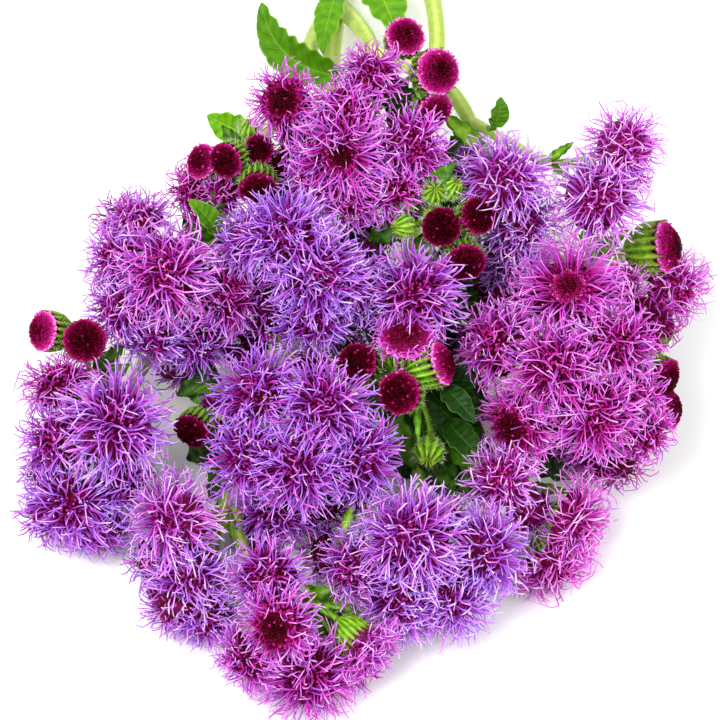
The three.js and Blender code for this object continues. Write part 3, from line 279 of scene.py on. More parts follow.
BRACTS = {
    "a": [((4, 43, 20), (8.4, 37, 20), 5.5, 0.1), ((7.5, 42, 17), (5, 35, 16), 5, 0.0),
          ((-10, 26.5, 15), (-14.5, 23, 14), 5, 0.0)],
    "h": [((9.5, 25.5, 27), (14.8, 30.6, 29.5), 3.6, 0.3), ((8.5, 23.6, 27), (3.2, 24.6, 27.5), 1.8, 0.8),
          ((8, 21, 24), (1, 18.6, 22), 4.2, 0.15), ((13, 18, 21), (18, 11.8, 17), 5, 0.05),
          ((14, 25, 22), (19.5, 27.5, 20), 4, 0.1), ((9, 19, 22), (12.5, 14.6, 24), 2.6, 0.6),
          ((12.6, 24.4, 26), (15.6, 28.2, 26.5), 1.6, 0.9), ((8.6, 22.6, 24), (11.2, 28, 25), 2.8, 0.6),
          ((12, 21, 19), (18.6, 26, 18), 6, 0.0), ((8.5, 23.5, 22), (5.4, 19, 22), 2.8, 0.5)],
    "g": [((8.7, -6.5, 30), (9, -13, 31.5), 1.3, 0.6), ((5, -9, 22), (8.5, -17, 18), 4.2, 0.3),
          ((14, -12.5, 21), (19.5, -18, 17), 4.2, 0.4), ((11, -13, 18), (14.5, -21.5, 16), 5.5, 0.1),
          ((1.5, -1, 24), (-4.5, 1.5, 21), 4.4, 0.05), ((3, -5, 22), (-1.5, -10, 19), 4.4, 0.1),
          ((13, -0.5, 21), (19.8, -5, 19), 6, 0.0), ((12.5, 11.5, 17), (19.5, 6, 15), 6, 0.0),
          ((15, -4, 19), (20.8, -9.5, 17), 5, 0.0), ((15, -15.5, 16), (18.8, -22.5, 15), 4.5, 0.1),
          ((4.8, -2.6, 25), (0.8, -4.6, 26), 3, 0.6), ((11.5, -2.5, 26), (15.4, 0.6, 29), 1.7, 0.8),
          ((9, -12.5, 15), (14.6, -21, 12), 7, 0.0), ((13, -11.5, 15), (20.6, -14.6, 12), 6.5, 0.0)],
    "b": [((-19, 27, 18), (-25.5, 22.4, 19), 3.2, 0.15), ((-18, 32, 14), (-21.5, 36.5, 14), 2.6, 0.3),
          ((-17, 30, 16), (-21.5, 26.5, 19), 2.4, 0.5)],
    "m": [((-8.5, -36, 33), (-4.5, -39.5, 35.5), 1.6, 0.8), ((-7, -35.5, 33), (-11.5, -34.5, 36.5), 1.5, 0.9),
          ((-9, -38, 31), (-5, -43, 31.5), 2.2, 0.5), ((-8, -36.5, 33), (-3.8, -34.8, 35), 2.4, 0.6),
          ((-7, -37.6, 32), (-2.6, -40.6, 33), 1.8, 0.4), ((-6.5, -36, 30), (0.6, -39.4, 31), 2.8, 0.75),
          ((-5, -36.6, 29), (-3.4, -42.6, 29), 3, 0.5), ((-7.5, -36, 27), (-3, -44, 25), 4.5, 0.1)],
    "u": [((23.5, -22.5, 24), (28, -21, 25.5), 2, 0.5), ((26, -19.5, 20), (33, -20.5, 21), 1.8, 0.7)],
    "p": [((37.5, 17, 12), (42, 20.5, 17), 2.2, 0.9), ((37, 15.5, 12), (34, 19.5, 16), 2, 0.8),
          ((35.5, 14, 13), (42.5, 16.4, 15), 2.4, 1.0), ((34.5, 19.5, 11), (40.5, 17.6, 14), 1.6, 0.9),
          ((45, 4.5, 12), (49.5, 4.4, 14), 3, 0.8)],
    "t": [((-21.5, -22, 21), (-24.5, -27.5, 23), 1.5, 0.9), ((-20.5, -23.5, 22), (-18.6, -30, 24), 1.5, 0.9)],
    "j": [((-1.2, -22.8, 33), (-3.2, -28, 33.5), 1.6, 1.0), ((-19.5, -11.5, 13), (-27, -15.5, 9), 5.5, 0.0),
          ((-20, -15.5, 16), (-23.4, -21.5, 14), 4.5, 0.05)],
    "l": [((-21, 21, 18), (-20, 14, 17), 3.5, 0.5), ((-22, 17, 14), (-19.5, 10.5, 15), 4, 0.15),
          ((-22, -2, 15), (-28.5, -5.5, 15), 4.5, 0.05), ((-23.5, 17, 13), (-27.5, 23, 13), 4.5, 0.1)],
    "q": [((26, -12, 16), (33, -18.5, 12), 6.5, 0.0), ((44.5, 1.5, 18), (48.2, 3.4, 22), 3.4, 0.9)],
    "k": [((-40, -3.5, 21), (-35.6, -0.6, 22), 3, 0.2), ((-41, -2.5, 19), (-36.4, 3, 20), 3.2, 0.3)],
    "r": [((18.8, 33, 15), (12.8, 38.4, 15), 3.2, 1.0), ((17, 34, 11), (12.5, 30.5, 10), 4.5, 0.2)],
}

# ---------- Leaves: base and tip on the flower face, the way the upper face looks, the stem nearby ----------


def leaf(base, tip, width, teeth, look, root, green, arch=0.7, fold=0.4, skew=0.0, bend=0.0):
    """One leaf's numbers: green, read from the first leaf of each piece, runs from a near-black green,
    painted shade, to fresh, and skew makes one half wider than the other.

    arch and bend are how far the middle of its rib stands up and to one side of a straight line.
    """
    return Numbers(base=base, tip=tip, width=width, teeth=teeth, look=look, root=root, green=green, arch=arch,
                   fold=fold, skew=skew, bend=bend)


LEAVES = {
    "leaf_1": [leaf((-3.5, 44.5, 6), (-15.4, 56, 4), 8.6, 7, (-0.35, -0.1, 0.9), (1, 36.5, 23), 0.45,
                    arch=1.6, fold=0.7, skew=0.2, bend=-2.8)],
    "leaf_2": [leaf((-17.2, 35.2, -0.5), (-24, 38.4, 0.5), 5.6, 4, (0, -0.3, 0.95), (-15.5, 31.5, 15.2), 0.85,
                    arch=0.6, fold=0.3),
               leaf((-16, 29, 10), (-9.5, 26.5, 12), 5.5, 4, (0, 0, 1), (-17, 27, 16), 0.3)],
    "leaf_3": [leaf((-22, 19.8, 25.5), (-26.4, 24.8, 28.5), 4, 3, (0.3, 0.2, 0.9), (-26, 12, 13), 0.45,
                    arch=0.6, fold=0.5),
               leaf((-20, -5, 17), (-26.5, -6, 15), 4.2, 4, (0.3, 0, 0.9), (-17, -8, 8), 0.1)],
    "leaf_4": [leaf((21, 36.6, 9.5), (22, 41, 10.5), 3.6, 3, (0.4, 0, 0.9), (20.2, 27, 24.5), 0.4, arch=0.5)],
    "leaf_5": [leaf((-3.8, 58.2, -18.4), (-6, 48.5, -12), 5, 4, (-0.2, 0.5, 0.85), (-4, 63, 5), 0.6,
                    arch=0.8, fold=0.3)],
    "leaf_6": [leaf((2, 60.5, -23.5), (6, 51.6, -18.5), 7.6, 4, (0.1, 0.5, 0.85), (-3.6, 68, 4), 0.6,
                    arch=0.8, fold=0.3)],
    # leaf_7 and leaf_8 hold leaves deep among the flowers, their green near black: painted shade.
    "leaf_7": [leaf((13.4, -4.5, 33), (17.6, -9.6, 36), 4.4, 3, (0.2, 0.2, 0.9), (8.2, -8, 17.5), 0.0,
                    arch=0.6, skew=0.15),
               leaf((8, 4.5, 15), (18.5, 1, 12), 8, 5, (0.1, 0.3, 0.9), (8, 3, 14), 0.0),
               leaf((4, 21, 15), (-4, 16.5, 12), 7, 4, (-0.1, 0, 0.95), (7, 20, 18), 0.0),
               leaf((13, 24, 17), (18, 15, 14), 7, 5, (0.1, 0.1, 0.95), (9, 22, 20), 0.0),
               leaf((11.5, -3, 26), (18.6, -3.5, 28), 4.6, 4, (0.1, 0.2, 0.95), (8, -4, 18), 0.0)],
    "leaf_8": [leaf((13.8, -10, 22), (19, -15.6, 25), 5, 4, (0, 0.1, 0.95), (13, -15.5, 8), 0.05, arch=0.8),
               leaf((6, -7, 14), (7.5, -19, 10), 8.5, 5, (-0.2, 0.1, 0.95), (8, -5, 10), 0.05),
               leaf((11, -5, 13), (19, -14.5, 9), 8.5, 6, (0.2, 0.1, 0.95), (8.5, -3, 10), 0.0),
               leaf((4.5, 10, 14), (2, 2, 12), 6.5, 4, (0, 0, 1), (7.5, 8, 14), 0.0),
               leaf((9.5, -7, 21), (14.5, -15, 19), 5.4, 4, (0.2, 0.1, 0.95), (9, -6, 15), 0.0)],
}

# ---------- Directions and places ----------


def unit(vectors):
    """Each vector divided by its own length."""
    return vectors / np.maximum(np.linalg.norm(vectors, axis=-1, keepdims=True), 1e-9)


def dot(first, second):
    """The sum of products along the last axis, kept as an axis of one."""
    return np.sum(first * second, axis=-1, keepdims=True)


def square_to(vectors, ways):
    """Unit vectors from others, less their parts along the ways."""
    return unit(vectors - dot(vectors, ways) * ways)


def across_from(ways):
    """A unit vector square to each way: the way's cross product with z, or with y where it runs along z."""
    helper = np.where(np.abs(ways[..., 2:3]) < 0.8, [0.0, 0.0, 1.0], [0.0, 1.0, 0.0])
    return unit(np.cross(ways, helper))


def turns(sides):
    """The angles of points spread evenly round a ring."""
    return np.arange(sides) * 2 * math.pi / sides


def spokes(angles, side, other):
    """Directions at angles round a ring: cos(a) * side + sin(a) * other."""
    return np.cos(angles)[..., None] * side + np.sin(angles)[..., None] * other


def on_face(place):
    """A point given across, up and out on the flower face, in the part's frame."""
    return np.asarray(place, float) @ FACE - CENTRE


def placed(fork_place, reach, pale, lime, one):
    """A head's numbers with its fork, axis, seat, cup and the three points of its stalk's curve added.

    The crown stands reach from the fork, the seat lies below the crown along the axis, and the cup below it.
    """
    fork = on_face(fork_place)
    step = one.at - np.array(fork_place[:2])
    rise = math.sqrt(max(reach**2 - float(step @ step), 0.0)) + one.lift
    crown = on_face((*one.at, fork_place[2] + rise))
    axis = unit(crown - fork)
    if one.face is not None:
        fx, fy = one.face
        axis = np.array([fx, fy, math.sqrt(1 - fx * fx - fy * fy)]) @ FACE
    seat = crown - axis * SEAT_DEPTH[one.kind]
    blooms = one.kind not in ("bud", "closed")
    share = BUD_CUP_HEIGHT if one.kind == "bud" else CLOSED_HEIGHT
    core = one.core or min(CORE.most, CORE.share * one.size)
    cup_height = OPEN_CUP.height if blooms else share * one.size
    cup_rim = min(OPEN_CUP.rim, core * OPEN_CUP.of_core) if blooms else one.size
    if one.kind == "ring":
        cup_rim = core
    foot = seat - axis * cup_height
    bend = foot - axis * one.bow * np.linalg.norm(foot - fork)
    side = across_from(axis)
    return Numbers(**vars(one) | {
        "fork": fork, "axis": axis, "frame": np.stack([side, np.cross(axis, side), axis]), "foot": foot,
        "seat": seat + axis * SEAT_LIFT, "seat_height": cup_height + SEAT_LIFT, "bend": bend, "core": core,
        "cup_height": cup_height, "cup_rim": cup_rim, "blooms": blooms, "pale": pale, "lime": lime})


def sunflower(count, lowest, highest=1.0, turn=0.0):
    """Directions spread evenly round +Z: the height falls in equal steps, each turned by the golden angle."""
    number = np.arange(count)
    height = highest - (number + 0.5) / count * (highest - lowest)
    around = number * GOLDEN_ANGLE + turn
    flat = np.sqrt(1 - height**2)
    return np.stack([flat * np.cos(around), flat * np.sin(around), height], axis=-1)


def bezier(corners, t):
    """Points at the places t along many Bezier curves: blends of neighbouring corners, over and over.

    corners is a list of (curves, 3) arrays.
    """
    hull = np.stack(corners, axis=-2)[:, None]
    points = np.broadcast_to(hull, (len(hull), len(t), *hull.shape[-2:]))
    t = np.asarray(t)[:, None, None]
    while points.shape[-2] > 1:
        points = points[..., :-1, :] * (1 - t) + points[..., 1:, :] * t
    return points[..., 0, :]


def through(stations, per_span):
    """A Catmull-Rom curve through stations, all columns alike, with the end stations doubled."""
    near = np.concatenate([stations[:1], stations, stations[-1:]])
    before, start, end, after = (near[k:len(near) - 3 + k, None] for k in range(4))
    t = np.linspace(0, 1, per_span, endpoint=False)[None, :, None]
    spans = 0.5 * (2 * start + (end - before) * t + (2 * before - 5 * start + 4 * end - after) * t**2
                   + (3 * start - before - 3 * end + after) * t**3)
    return np.concatenate([spans.reshape(-1, stations.shape[1]), stations[-1:]])


# ---------- Shapes: points, triangles and the map that paints them ----------


def mapped(points, run, band):
    """Points with the two numbers of the map, spread over them, as their fourth and fifth."""
    marks = np.stack(np.broadcast_arrays(run, band, np.zeros(points.shape[:-1]))[:2], axis=-1)
    return np.concatenate([points, marks], axis=-1)


def skins(rings, run, band, tips=None):
    """Closed skins over rings of points, all at once: rings is (skins, steps, sides, 3).

    Neighbouring rings are joined by two triangles a side, and a fan from its first point closes each end.
    Where tips are given, the last ring is closed by a triangle from each of its sides to the tip.
    """
    count, steps, sides, _ = rings.shape
    points = mapped(rings, run, band).reshape(count, steps * sides, 5)
    here = np.arange(sides)
    ahead = (here + 1) % sides
    row = np.arange(steps - 1)[:, None] * sides
    a, b = row + here, row + ahead
    c, d = b + sides, a + sides
    fan = np.arange(1, sides - 1)
    last = (steps - 1) * sides
    triangles = [(a, b, c), (a, c, d), (0 * fan, fan + 1, fan)]
    if tips is None:
        triangles.append((0 * fan + last, fan + last, fan + last + 1))
    else:
        ends = np.concatenate([tips[:, None], points[:, -1:, 3:]], axis=-1)
        points = np.concatenate([points, ends], axis=1)
        triangles.append((here + last, ahead + last, 0 * here + steps * sides))
    one = np.concatenate([np.stack(corners, axis=-1).reshape(-1, 3) for corners in triangles])
    shift = np.arange(count)[:, None, None] * points.shape[1]
    return points.reshape(-1, 5), (one[None] + shift).reshape(-1, 3)


def hairs(roots, tips):
    """Thin three-sided cones from roots to tips: three corners round each root, joined to the tip."""
    ways = unit(tips - roots)
    side = across_from(ways)
    corners = roots[:, None] + HAIR.radius * spokes(turns(3), side[:, None], np.cross(ways, side)[:, None])
    points = mapped(np.concatenate([corners, tips[:, None]], axis=1), 0.5, np.mean(HAIR_BAND))
    one = np.array([[0, 1, 3], [1, 2, 3], [2, 0, 3], [0, 2, 1]])
    faces = one[None] + np.arange(len(roots))[:, None, None] * 4
    return points.reshape(-1, 5), faces.reshape(-1, 3)


def tube_rings(paths, radii, sides, ribs=0):
    """Rings of points round curves: path + radius * (cos(a) * first + sin(a) * second).

    first starts from one vector for each curve, less its part along the curve, so the rings don't twist.
    Where there are ribs, they are shallow ridges: radius * (1 + RIDGE * cos(ribs * a)).
    """
    ways = unit(np.gradient(paths, axis=1))
    first = square_to(across_from(unit(paths[:, -1] - paths[:, 0]))[:, None], ways)
    angles = turns(sides)
    reach = radii[:, :, None] * (1 + RIDGE * np.cos(ribs * angles) * (ribs > 0))
    return paths[:, :, None] + reach[..., None] * spokes(angles, first[:, :, None],
                                                         np.cross(ways, first)[:, :, None])


def lathe(one, heights, radii):
    """Rings round a head's axis: foot + height * axis + radius * (cos(a) * side + sin(a) * other).

    heights and radii are (steps, sides), so that both may change round the ring.
    """
    side, other, axis = one.frame
    reach = radii[..., None] * spokes(turns(radii.shape[1]), side, other)
    return (one.foot + heights[..., None] * axis + reach)[None]


def put(name, data):
    """A new object in the scene, unmoved and unturned."""
    thing = bpy.data.objects.new(name, data)
    bpy.context.scene.collection.objects.link(thing)
    return thing


def new_piece(name, shapes, material, nodes, resting=0.0):
    """One mesh of all the shapes, in metres, with its map, on the root body in place of the CAD nodes.

    A face whose corners lie in different bands takes the lowest of them, so no finish bleeds into another.
    """
    starts = np.cumsum([0] + [len(points) for points, _ in shapes[:-1]])
    points = np.concatenate([points for points, _ in shapes])
    faces = np.concatenate([triangles + start for (_, triangles), start in zip(shapes, starts)])
    places = points[:, :3].copy()
    places[:, 2] = np.maximum(places[:, 2], resting)
    mesh = bpy.data.meshes.new(name)
    mesh.vertices.add(len(places))
    mesh.vertices.foreach_set("co", (places * MM).ravel())
    mesh.loops.add(faces.size)
    mesh.loops.foreach_set("vertex_index", faces.ravel())
    mesh.polygons.add(len(faces))
    mesh.polygons.foreach_set("loop_start", np.arange(0, faces.size, 3))
    mesh.polygons.foreach_set("use_smooth", np.ones(len(faces), bool))
    layer = mesh.uv_layers.new(name="finish")
    corners = points[faces][..., 3:]
    apart = np.ptp(corners[..., 1], axis=1) > WIDEST_FACE
    corners[apart, :, 1] = corners[apart, :, 1].min(axis=1)[:, None]
    layer.data.foreach_set("uv", corners.ravel())
    mesh.update(calc_edges=True)
    mesh.materials.append(material)
    piece = put(name, mesh)
    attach(piece, "root")
    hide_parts(*nodes)


# ---------- Bands of the map: which part of it each finish uses ----------

THREAD_BAND = (0.02, 0.46)
FLORET_BAND = (0.54, 0.70)
GRANULE_BAND = (0.78, 0.98)
SKIN_BAND = (0.02, 0.22)
CUP_BAND = (0.30, 0.62)
HAIR_BAND = (0.80, 0.90)
UPPER_BAND = (0.02, 0.48)
UNDER_BAND = (0.52, 0.98)

# Corners further apart than this lie in two bands.
WIDEST_FACE = 0.4

# Where one finish gives way to the next.
FLORETS_FROM = 0.5
GRANULES_FROM = 0.74
CUPS_FROM = 0.26
HAIRS_FROM = 0.7
UNDERSIDE_FROM = 0.5


def in_band(share, band):
    """A share from 0 to 1, placed in a band of the map."""
    return band[0] + np.clip(share, 0.0, 1.0) * (band[1] - band[0])


# ---------- Open heads: florets with their pairs of style threads ----------

# Places along a thread's curve: fewer on the heads that are tucked in.
SMOOTH = (0.0, 0.28, 0.58, 0.9, 1.0)
WAVY = (0.0, 0.2, 0.42, 0.66, 0.92, 1.0)


def corollas(one, rng):
    """Flared three-cornered florets crowded over the dome, each with a dimpled mouth.

    On a half-open head they stand taller, as a brush round the middle that is still shut.
    """
    count = round(FLORET.crowd * one.core**2)
    per_floret = (count, 1, 1)
    highest, tall = (0.66, 1.3) if one.kind == "half" else (1.0, 1.0)
    local = sunflower(count, FLORET.lowest, highest, rng.uniform(0, ANY_TURN))
    ways = unit(local + rng.normal(0, FLORET.wobble, local.shape)) @ one.frame
    top = one.core * tall * rng.uniform(*FLORET.top, count)
    steps = np.stack([top - FLORET.long, top, top - FLORET.dimple], axis=1)
    mouth = rng.uniform(*FLORET.mouth, count)
    radii = np.stack([np.full(count, FLORET.neck), mouth, np.full(count, FLORET.throat)], axis=1)
    paths = one.seat + ways[:, None] * steps[..., None]
    side = across_from(ways)[:, None, None]
    corners = spokes(turns(3), side, np.cross(ways[:, None, None], side))
    # Painted shade: each floret is darkest at its foot, down among the others, and darker again in its
    # dimpled mouth than at the mouth's rim.
    run = np.array(FLORET.shades)[None, :, None] * rng.uniform(*FLORET.uneven_shade, per_floret)
    hue = in_band(one.hue + rng.normal(0, FLORET.uneven_hue, per_floret), FLORET_BAND)
    return skins(paths[:, :, None] + radii[:, :, None, None] * corners, run, hue)


def thread_ways(one, pairs, rng):
    """Directions of a head's pairs of threads about its own axis: few in the middle, most at its sides."""
    highest = {"half": 0.6, "ring": 0.4}.get(one.kind, 0.97)
    even = sunflower(pairs, 0.0, 1.0, rng.uniform(0, ANY_TURN))
    height = one.lowest + (highest - one.lowest) * (1 - (1 - even[:, 2]) ** 0.9)
    flat = unit(even[:, :2]) * np.sqrt(1 - height**2)[:, None]
    local = np.concatenate([flat, height[:, None]], axis=1)
    return np.repeat(unit(local + rng.normal(0, THREAD.wobble, local.shape)), 2, axis=0)


def by_hue(one, violet, added):
    """A number that goes by a head's hue: violet's own, and what magenta adds."""
    return violet + added * one.hue


def style_threads(one, rng):
    """Pairs of threads from the florets' mouths, parting to either side and curling on their way out.

    Each is a cubic Bezier curve from the edge of the dome to the head's reach, bent to one side as an arc.
    The outer ones spring from the cup's rim and arch over it, and the ones in the middle are shorter.
    """
    is_under = one.kind == "under"
    pairs = round((THREAD.under_per_size if is_under else THREAD.per_size) * one.size)
    local = thread_ways(one, pairs, rng)
    count = len(local)
    each = (count, 1)
    sprung = unit(np.concatenate([local[:, :2], np.maximum(local[:, 2:], 0.06)], axis=1)) @ one.frame
    middle = np.maximum(local[:, 2:], 0) ** 3
    ways = local @ one.frame
    side = across_from(ways)
    turn = np.repeat(rng.uniform(0, ANY_TURN, pairs), 2) + np.tile([0.0, math.pi], pairs)
    turn += rng.normal(0, 0.4, count)
    spread = rng.uniform(THREAD.least_spread, by_hue(one, *THREAD.spread), each)
    spread += THREAD.wider_middle * middle
    lean = unit(ways + spread * spokes(turn, side, np.cross(ways, side)))
    start = one.seat + sprung * one.core * THREAD.from_core
    short = 1 - THREAD.shorter_middle * middle
    reach = one.size * THREAD.reach * rng.triangular(*THREAD.uneven_reach, each) * short
    end = one.seat + lean * reach
    length = np.linalg.norm(end - start, axis=1, keepdims=True)
    bend = square_to(rng.normal(0, 1, (count, 3)), ways) * length
    bend *= rng.normal(0, by_hue(one, *THREAD.bend), each)
    loose = rng.normal(0, by_hue(one, *THREAD.loose), (2, count, 3)) * length
    first = start + sprung * length * HANDLE.out + bend * HANDLE.bent + loose[0]
    second = end - lean * length * HANDLE.back + bend + loose[1] + one.axis * length * HANDLE.forward
    places = SMOOTH if is_under else WAVY
    paths = bezier([start, first, second, end], places)
    paths[..., 2] = np.maximum(paths[..., 2], THREAD.above_floor + THREAD.clear * rng.uniform(0, 6, each))
    thick = by_hue(one, *THREAD.radius) * (THREAD.thick[0] + THREAD.thick[1] * one.size)
    radii = thick * rng.uniform(*THREAD.uneven_thick, each) * np.interp(places, *THREAD.taper)
    # Painted light and shade: a spray's pale below 1 darkens its threads, above 1 lifts them towards their
    # pale tips, and the threads of tucked-in heads are darkened.
    pale = min(one.pale, 1) * rng.uniform(*THREAD.uneven_pale, (count, 1, 1))
    pale *= THREAD.shade_under if is_under else 1.0
    run = np.array(places)[None, :-1, None] * pale + THREAD.pale_lift * max(one.pale - 1, 0)
    uneven = rng.normal(0, THREAD.uneven_hue, (count, 1, 1))
    hue = in_band(one.hue * THREAD.less_warm + uneven, THREAD_BAND)
    return skins(tube_rings(paths, radii, 3)[:, :-1], run, hue, paths[:, -1])


def heart(one, radius, glow=0.05):
    """A smooth dome under the granules: rings of radius * cos(a) at height radius * sin(a), painted in the
    granules' darkest gap colour as the shade beneath them.
    """
    rise = np.linspace(-0.25, math.pi / 2 - 0.12, 6)[:, None] * np.ones((1, 12))
    rings = lathe(one, one.seat_height + radius * np.sin(rise), radius * np.cos(rise))
    return skins(rings, 0.02, in_band(glow, GRANULE_BAND))


def shaded_cushion(one, rng):
    """The mass of crowded florets that the threads of an open head stand in, painted a dark plum as the deep
    shade among the threads.

    A lathe from the cup out to a wide skirt and back up to a low dome, every point pushed in or out a little.
    """
    core, low = one.core, -CUSHION.low * one.size
    # On tucked-in heads the skirt is wider, to spread the painted shade over the gaps.
    skirt = one.size * (CUSHION.skirt_under if one.kind == "under" else CUSHION.skirt)
    outline = np.array([(0.5 * one.cup_rim, low), (0.8 * skirt, 0.8 * low), (skirt, 0.3 * low),
                        (0.85 * skirt, 0.1 * core), (0.95 * core, 0.42 * core), (0.5 * core, 0.72 * core),
                        (0.12 * core, 0.82 * core)])
    spread = rng.normal(1.0, CUSHION.uneven, (len(outline), CUSHION.sides))
    rings = lathe(one, one.seat_height + outline[:, 1:] * spread, outline[:, :1] * spread)
    # Painted light: a spray painted paler lifts its cushion in the band by how far its pale passes 1.
    bright = CUSHION.glow[0] + max(one.pale - 1, 0) + CUSHION.glow[1] * rng.random((1, *spread.shape))
    return skins(rings, 0.5, in_band(bright, GRANULE_BAND))


def granules(one, radius, tall, lowest, glow, rng):
    """Unopened florets packed over a dome in spirals: short blunt beads, the outer ones longer and upright.

    glow is how bright the bead is: it rises from the middle of the dome to its rim.
    """
    count = round(2 * math.pi * radius**2 * (1 - lowest) / GRANULE.room)
    local = sunflower(count, lowest, 1.0, rng.uniform(0, ANY_TURN))
    rim = np.clip((1 - local[:, 2]) / (1 - lowest), 0, 1)
    root = one.seat + (local * [1.0, 1.0, tall] * radius * GRANULE.sunk) @ one.frame
    upright = np.array([0.0, 0.0, 1.0]) * (0.35 + 0.9 * rim[:, None] ** 2)
    way = unit(local * [1, 1, 0.8] + upright + rng.normal(0, GRANULE.wobble, local.shape)) @ one.frame
    long = (GRANULE.long + GRANULE.longer_at_rim * rim**3) * rng.uniform(*GRANULE.uneven_long, count)
    steps = np.array(GRANULE.steps) * long[:, None]
    radii = np.array(GRANULE.radii) * rng.uniform(*GRANULE.uneven_radii, (count, 1))
    paths = root[:, None] + way[:, None] * steps[..., None]
    speck = GRANULE.speck_glow * (rng.random(count) < GRANULE.specks)
    bright = glow * (0.22 + 0.78 * rim**1.1) + GRANULE.rim_glow * rim**4 + speck
    bright += rng.normal(0, GRANULE.uneven_glow, count)
    band = in_band(bright, GRANULE_BAND)[:, None, None]
    run = np.array(GRANULE.shades)[None, :, None]
    return skins(tube_rings(paths, radii, 4)[:, :-1], run, band, paths[:, -1])


def bloom(one, rng):
    """Everything coloured on an open, half-open, sideways, ringed or tucked-in head."""
    if one.kind in ("ring", "aside"):
        parts = [heart(one, one.core * 0.55)]
    else:
        parts = [shaded_cushion(one, rng)]
    if one.kind == "aside":
        parts.append(heart(one, one.cup_rim * 1.02, 0.8))
    parts.append(style_threads(one, rng))
    if one.kind in ("open", "aside", "half"):
        parts.append(corollas(one, rng))
    if one.kind == "half":
        parts.append(granules(one, one.core * 1.04, 1.0, 0.35, one.middle, rng))
    if one.kind == "ring":
        parts.append(granules(one, one.core * 1.15, 0.6, 0.0, 0.76, rng))
    return parts


# ---------- Cups, closed buds, stalks and their hairs ----------


def column(numbers):
    """Numbers one below the other, to be spread round a ring."""
    return np.array(numbers)[:, None]


def cup_profile(rim, share):
    """Radius of a cup at a share of its height: it swells fast from the neck and then runs straight up."""
    return STALK.neck + (rim - STALK.neck) * (1 - (1 - share) ** CUP.swell)


def cup(one):
    """A cup of narrow bracts: a ribbed lathe whose rim rises to a point on every rib, then turns inwards."""
    rim, height = one.cup_rim, one.cup_height
    angles = turns(CUP.sides)
    ridge = 0.5 + 0.5 * np.cos(CUP.ribs * angles)
    uneven = 1 + 0.3 * np.sin(3 * angles + rim) + 0.25 * np.sin(7 * angles)
    share = column(CUP.steps)
    wall = cup_profile(rim, share) * (1 + CUP.rib_depth * (ridge - 0.5) * np.minimum(share * 4, 1))
    points = [height + (CUP.point[1] * rim + CUP.point[0]) * ridge * uneven]
    flat = np.ones((1, CUP.sides))
    heights = np.concatenate([share * height * flat, points, height * CUP.inside_height * flat])
    radii = np.concatenate([wall, [rim * (CUP.rim[0] + CUP.rim[1] * ridge)], rim * CUP.inside * flat])
    run = np.concatenate([share[:, 0] * 0.8, [1.0, 0.5]])[None, :, None]
    bright = one.lime + (1 - one.lime) * ridge
    return skins(lathe(one, heights, radii), run, in_band(bright, CUP_BAND)[None, None])


def closed_bud(one):
    """A small egg of green bracts shut over its florets: the ribs rise to separate dark points at its top."""
    ridge = 0.5 + 0.5 * np.cos(CUP.ribs / 2 * turns(CUP.sides))
    share = column(CLOSED.steps)
    heights = (share + column(CLOSED.points) * (ridge - 0.4)) * one.cup_height
    ribbed = 1 + CLOSED.rib_depth * (ridge - 0.5) * np.minimum(share * 3, 1)
    radii = column(CLOSED.outline) * one.size * ribbed
    band = in_band(0.25 + 0.75 * ridge, CUP_BAND)[None, None]
    return skins(lathe(one, heights, radii), (share * 0.66)[None], band)


def cup_hairs(one, rng):
    """Fine hairs standing out and up from the wall of a cup."""
    count = HAIR.on_open_cup if one.blooms else HAIR.on_bud_cup
    share = rng.uniform(0.05, 1.0, (count, 1))
    side, other, axis = one.frame
    spoke = spokes(rng.uniform(0, 2 * math.pi, count), side, other)
    rim = one.size * 0.95 if one.kind == "closed" else one.cup_rim
    root = one.foot + axis * share * one.cup_height + spoke * cup_profile(rim, share) * 0.98
    lean = axis * rng.uniform(*HAIR.cup_lean, (count, 1))
    way = unit(spoke + lean + rng.normal(0, HAIR.wobble, (count, 3)))
    return hairs(root, root + way * rng.uniform(*HAIR.cup_length, (count, 1)))


def tube_hairs(path, radii, density, rng):
    """Hairs on a tube: roots at random along and round it, standing off square to it."""
    span = np.linalg.norm(np.diff(path, axis=0), axis=1)
    count = max(int(span.sum() * density), 4)
    place = np.sort(rng.uniform(0, len(path) - 1.001, count))
    low = place.astype(int)
    share = (place - low)[:, None]
    middle = path[low] * (1 - share) + path[low + 1] * share
    thick = radii[low][:, None] * (1 - share) + radii[low + 1][:, None] * share
    way = unit(path[low + 1] - path[low])
    out = square_to(rng.normal(0, 1, (count, 3)), way)
    root = middle + out * thick * 0.95
    lean = unit(out + way * rng.normal(*HAIR.tube_lean, (count, 1)))
    tip = root + lean * rng.uniform(*HAIR.tube_length, (count, 1))
    tip[:, 2] = np.maximum(tip[:, 2], HAIR.above_floor)
    return hairs(root, tip)


def stalk(one):
    """A head's stalk: a tube along the curve fork, bend, foot, thickest where it meets the cup."""
    t = np.linspace(0, 1, STALK.steps)
    path = bezier([one.fork[None], one.bend[None], (one.foot + one.axis * 0.2)[None]], t)
    radii = np.interp(t, [0, 0.55, 1], [STALK.root, STALK.middle, STALK.neck])[None]
    streak = in_band(0.5 + 0.5 * np.cos(np.arange(STALK.sides) * 2), SKIN_BAND)[None, None]
    tube = skins(tube_rings(path, radii, STALK.sides), (0.2 + 0.6 * t)[None, :, None], streak)
    return tube, path[0], radii[0]


def hub(fork):
    """The small swollen knob that a spray's stalks spring from: rings of a ball."""
    rise = column(np.linspace(-HUB.rise, HUB.rise, HUB.steps)) * np.ones((1, HUB.sides))
    ball = Numbers(foot=fork, frame=np.eye(3))
    rings = lathe(ball, HUB.radius * np.sin(rise), HUB.radius * np.cos(rise))
    return skins(rings, 0.3, np.mean(SKIN_BAND))


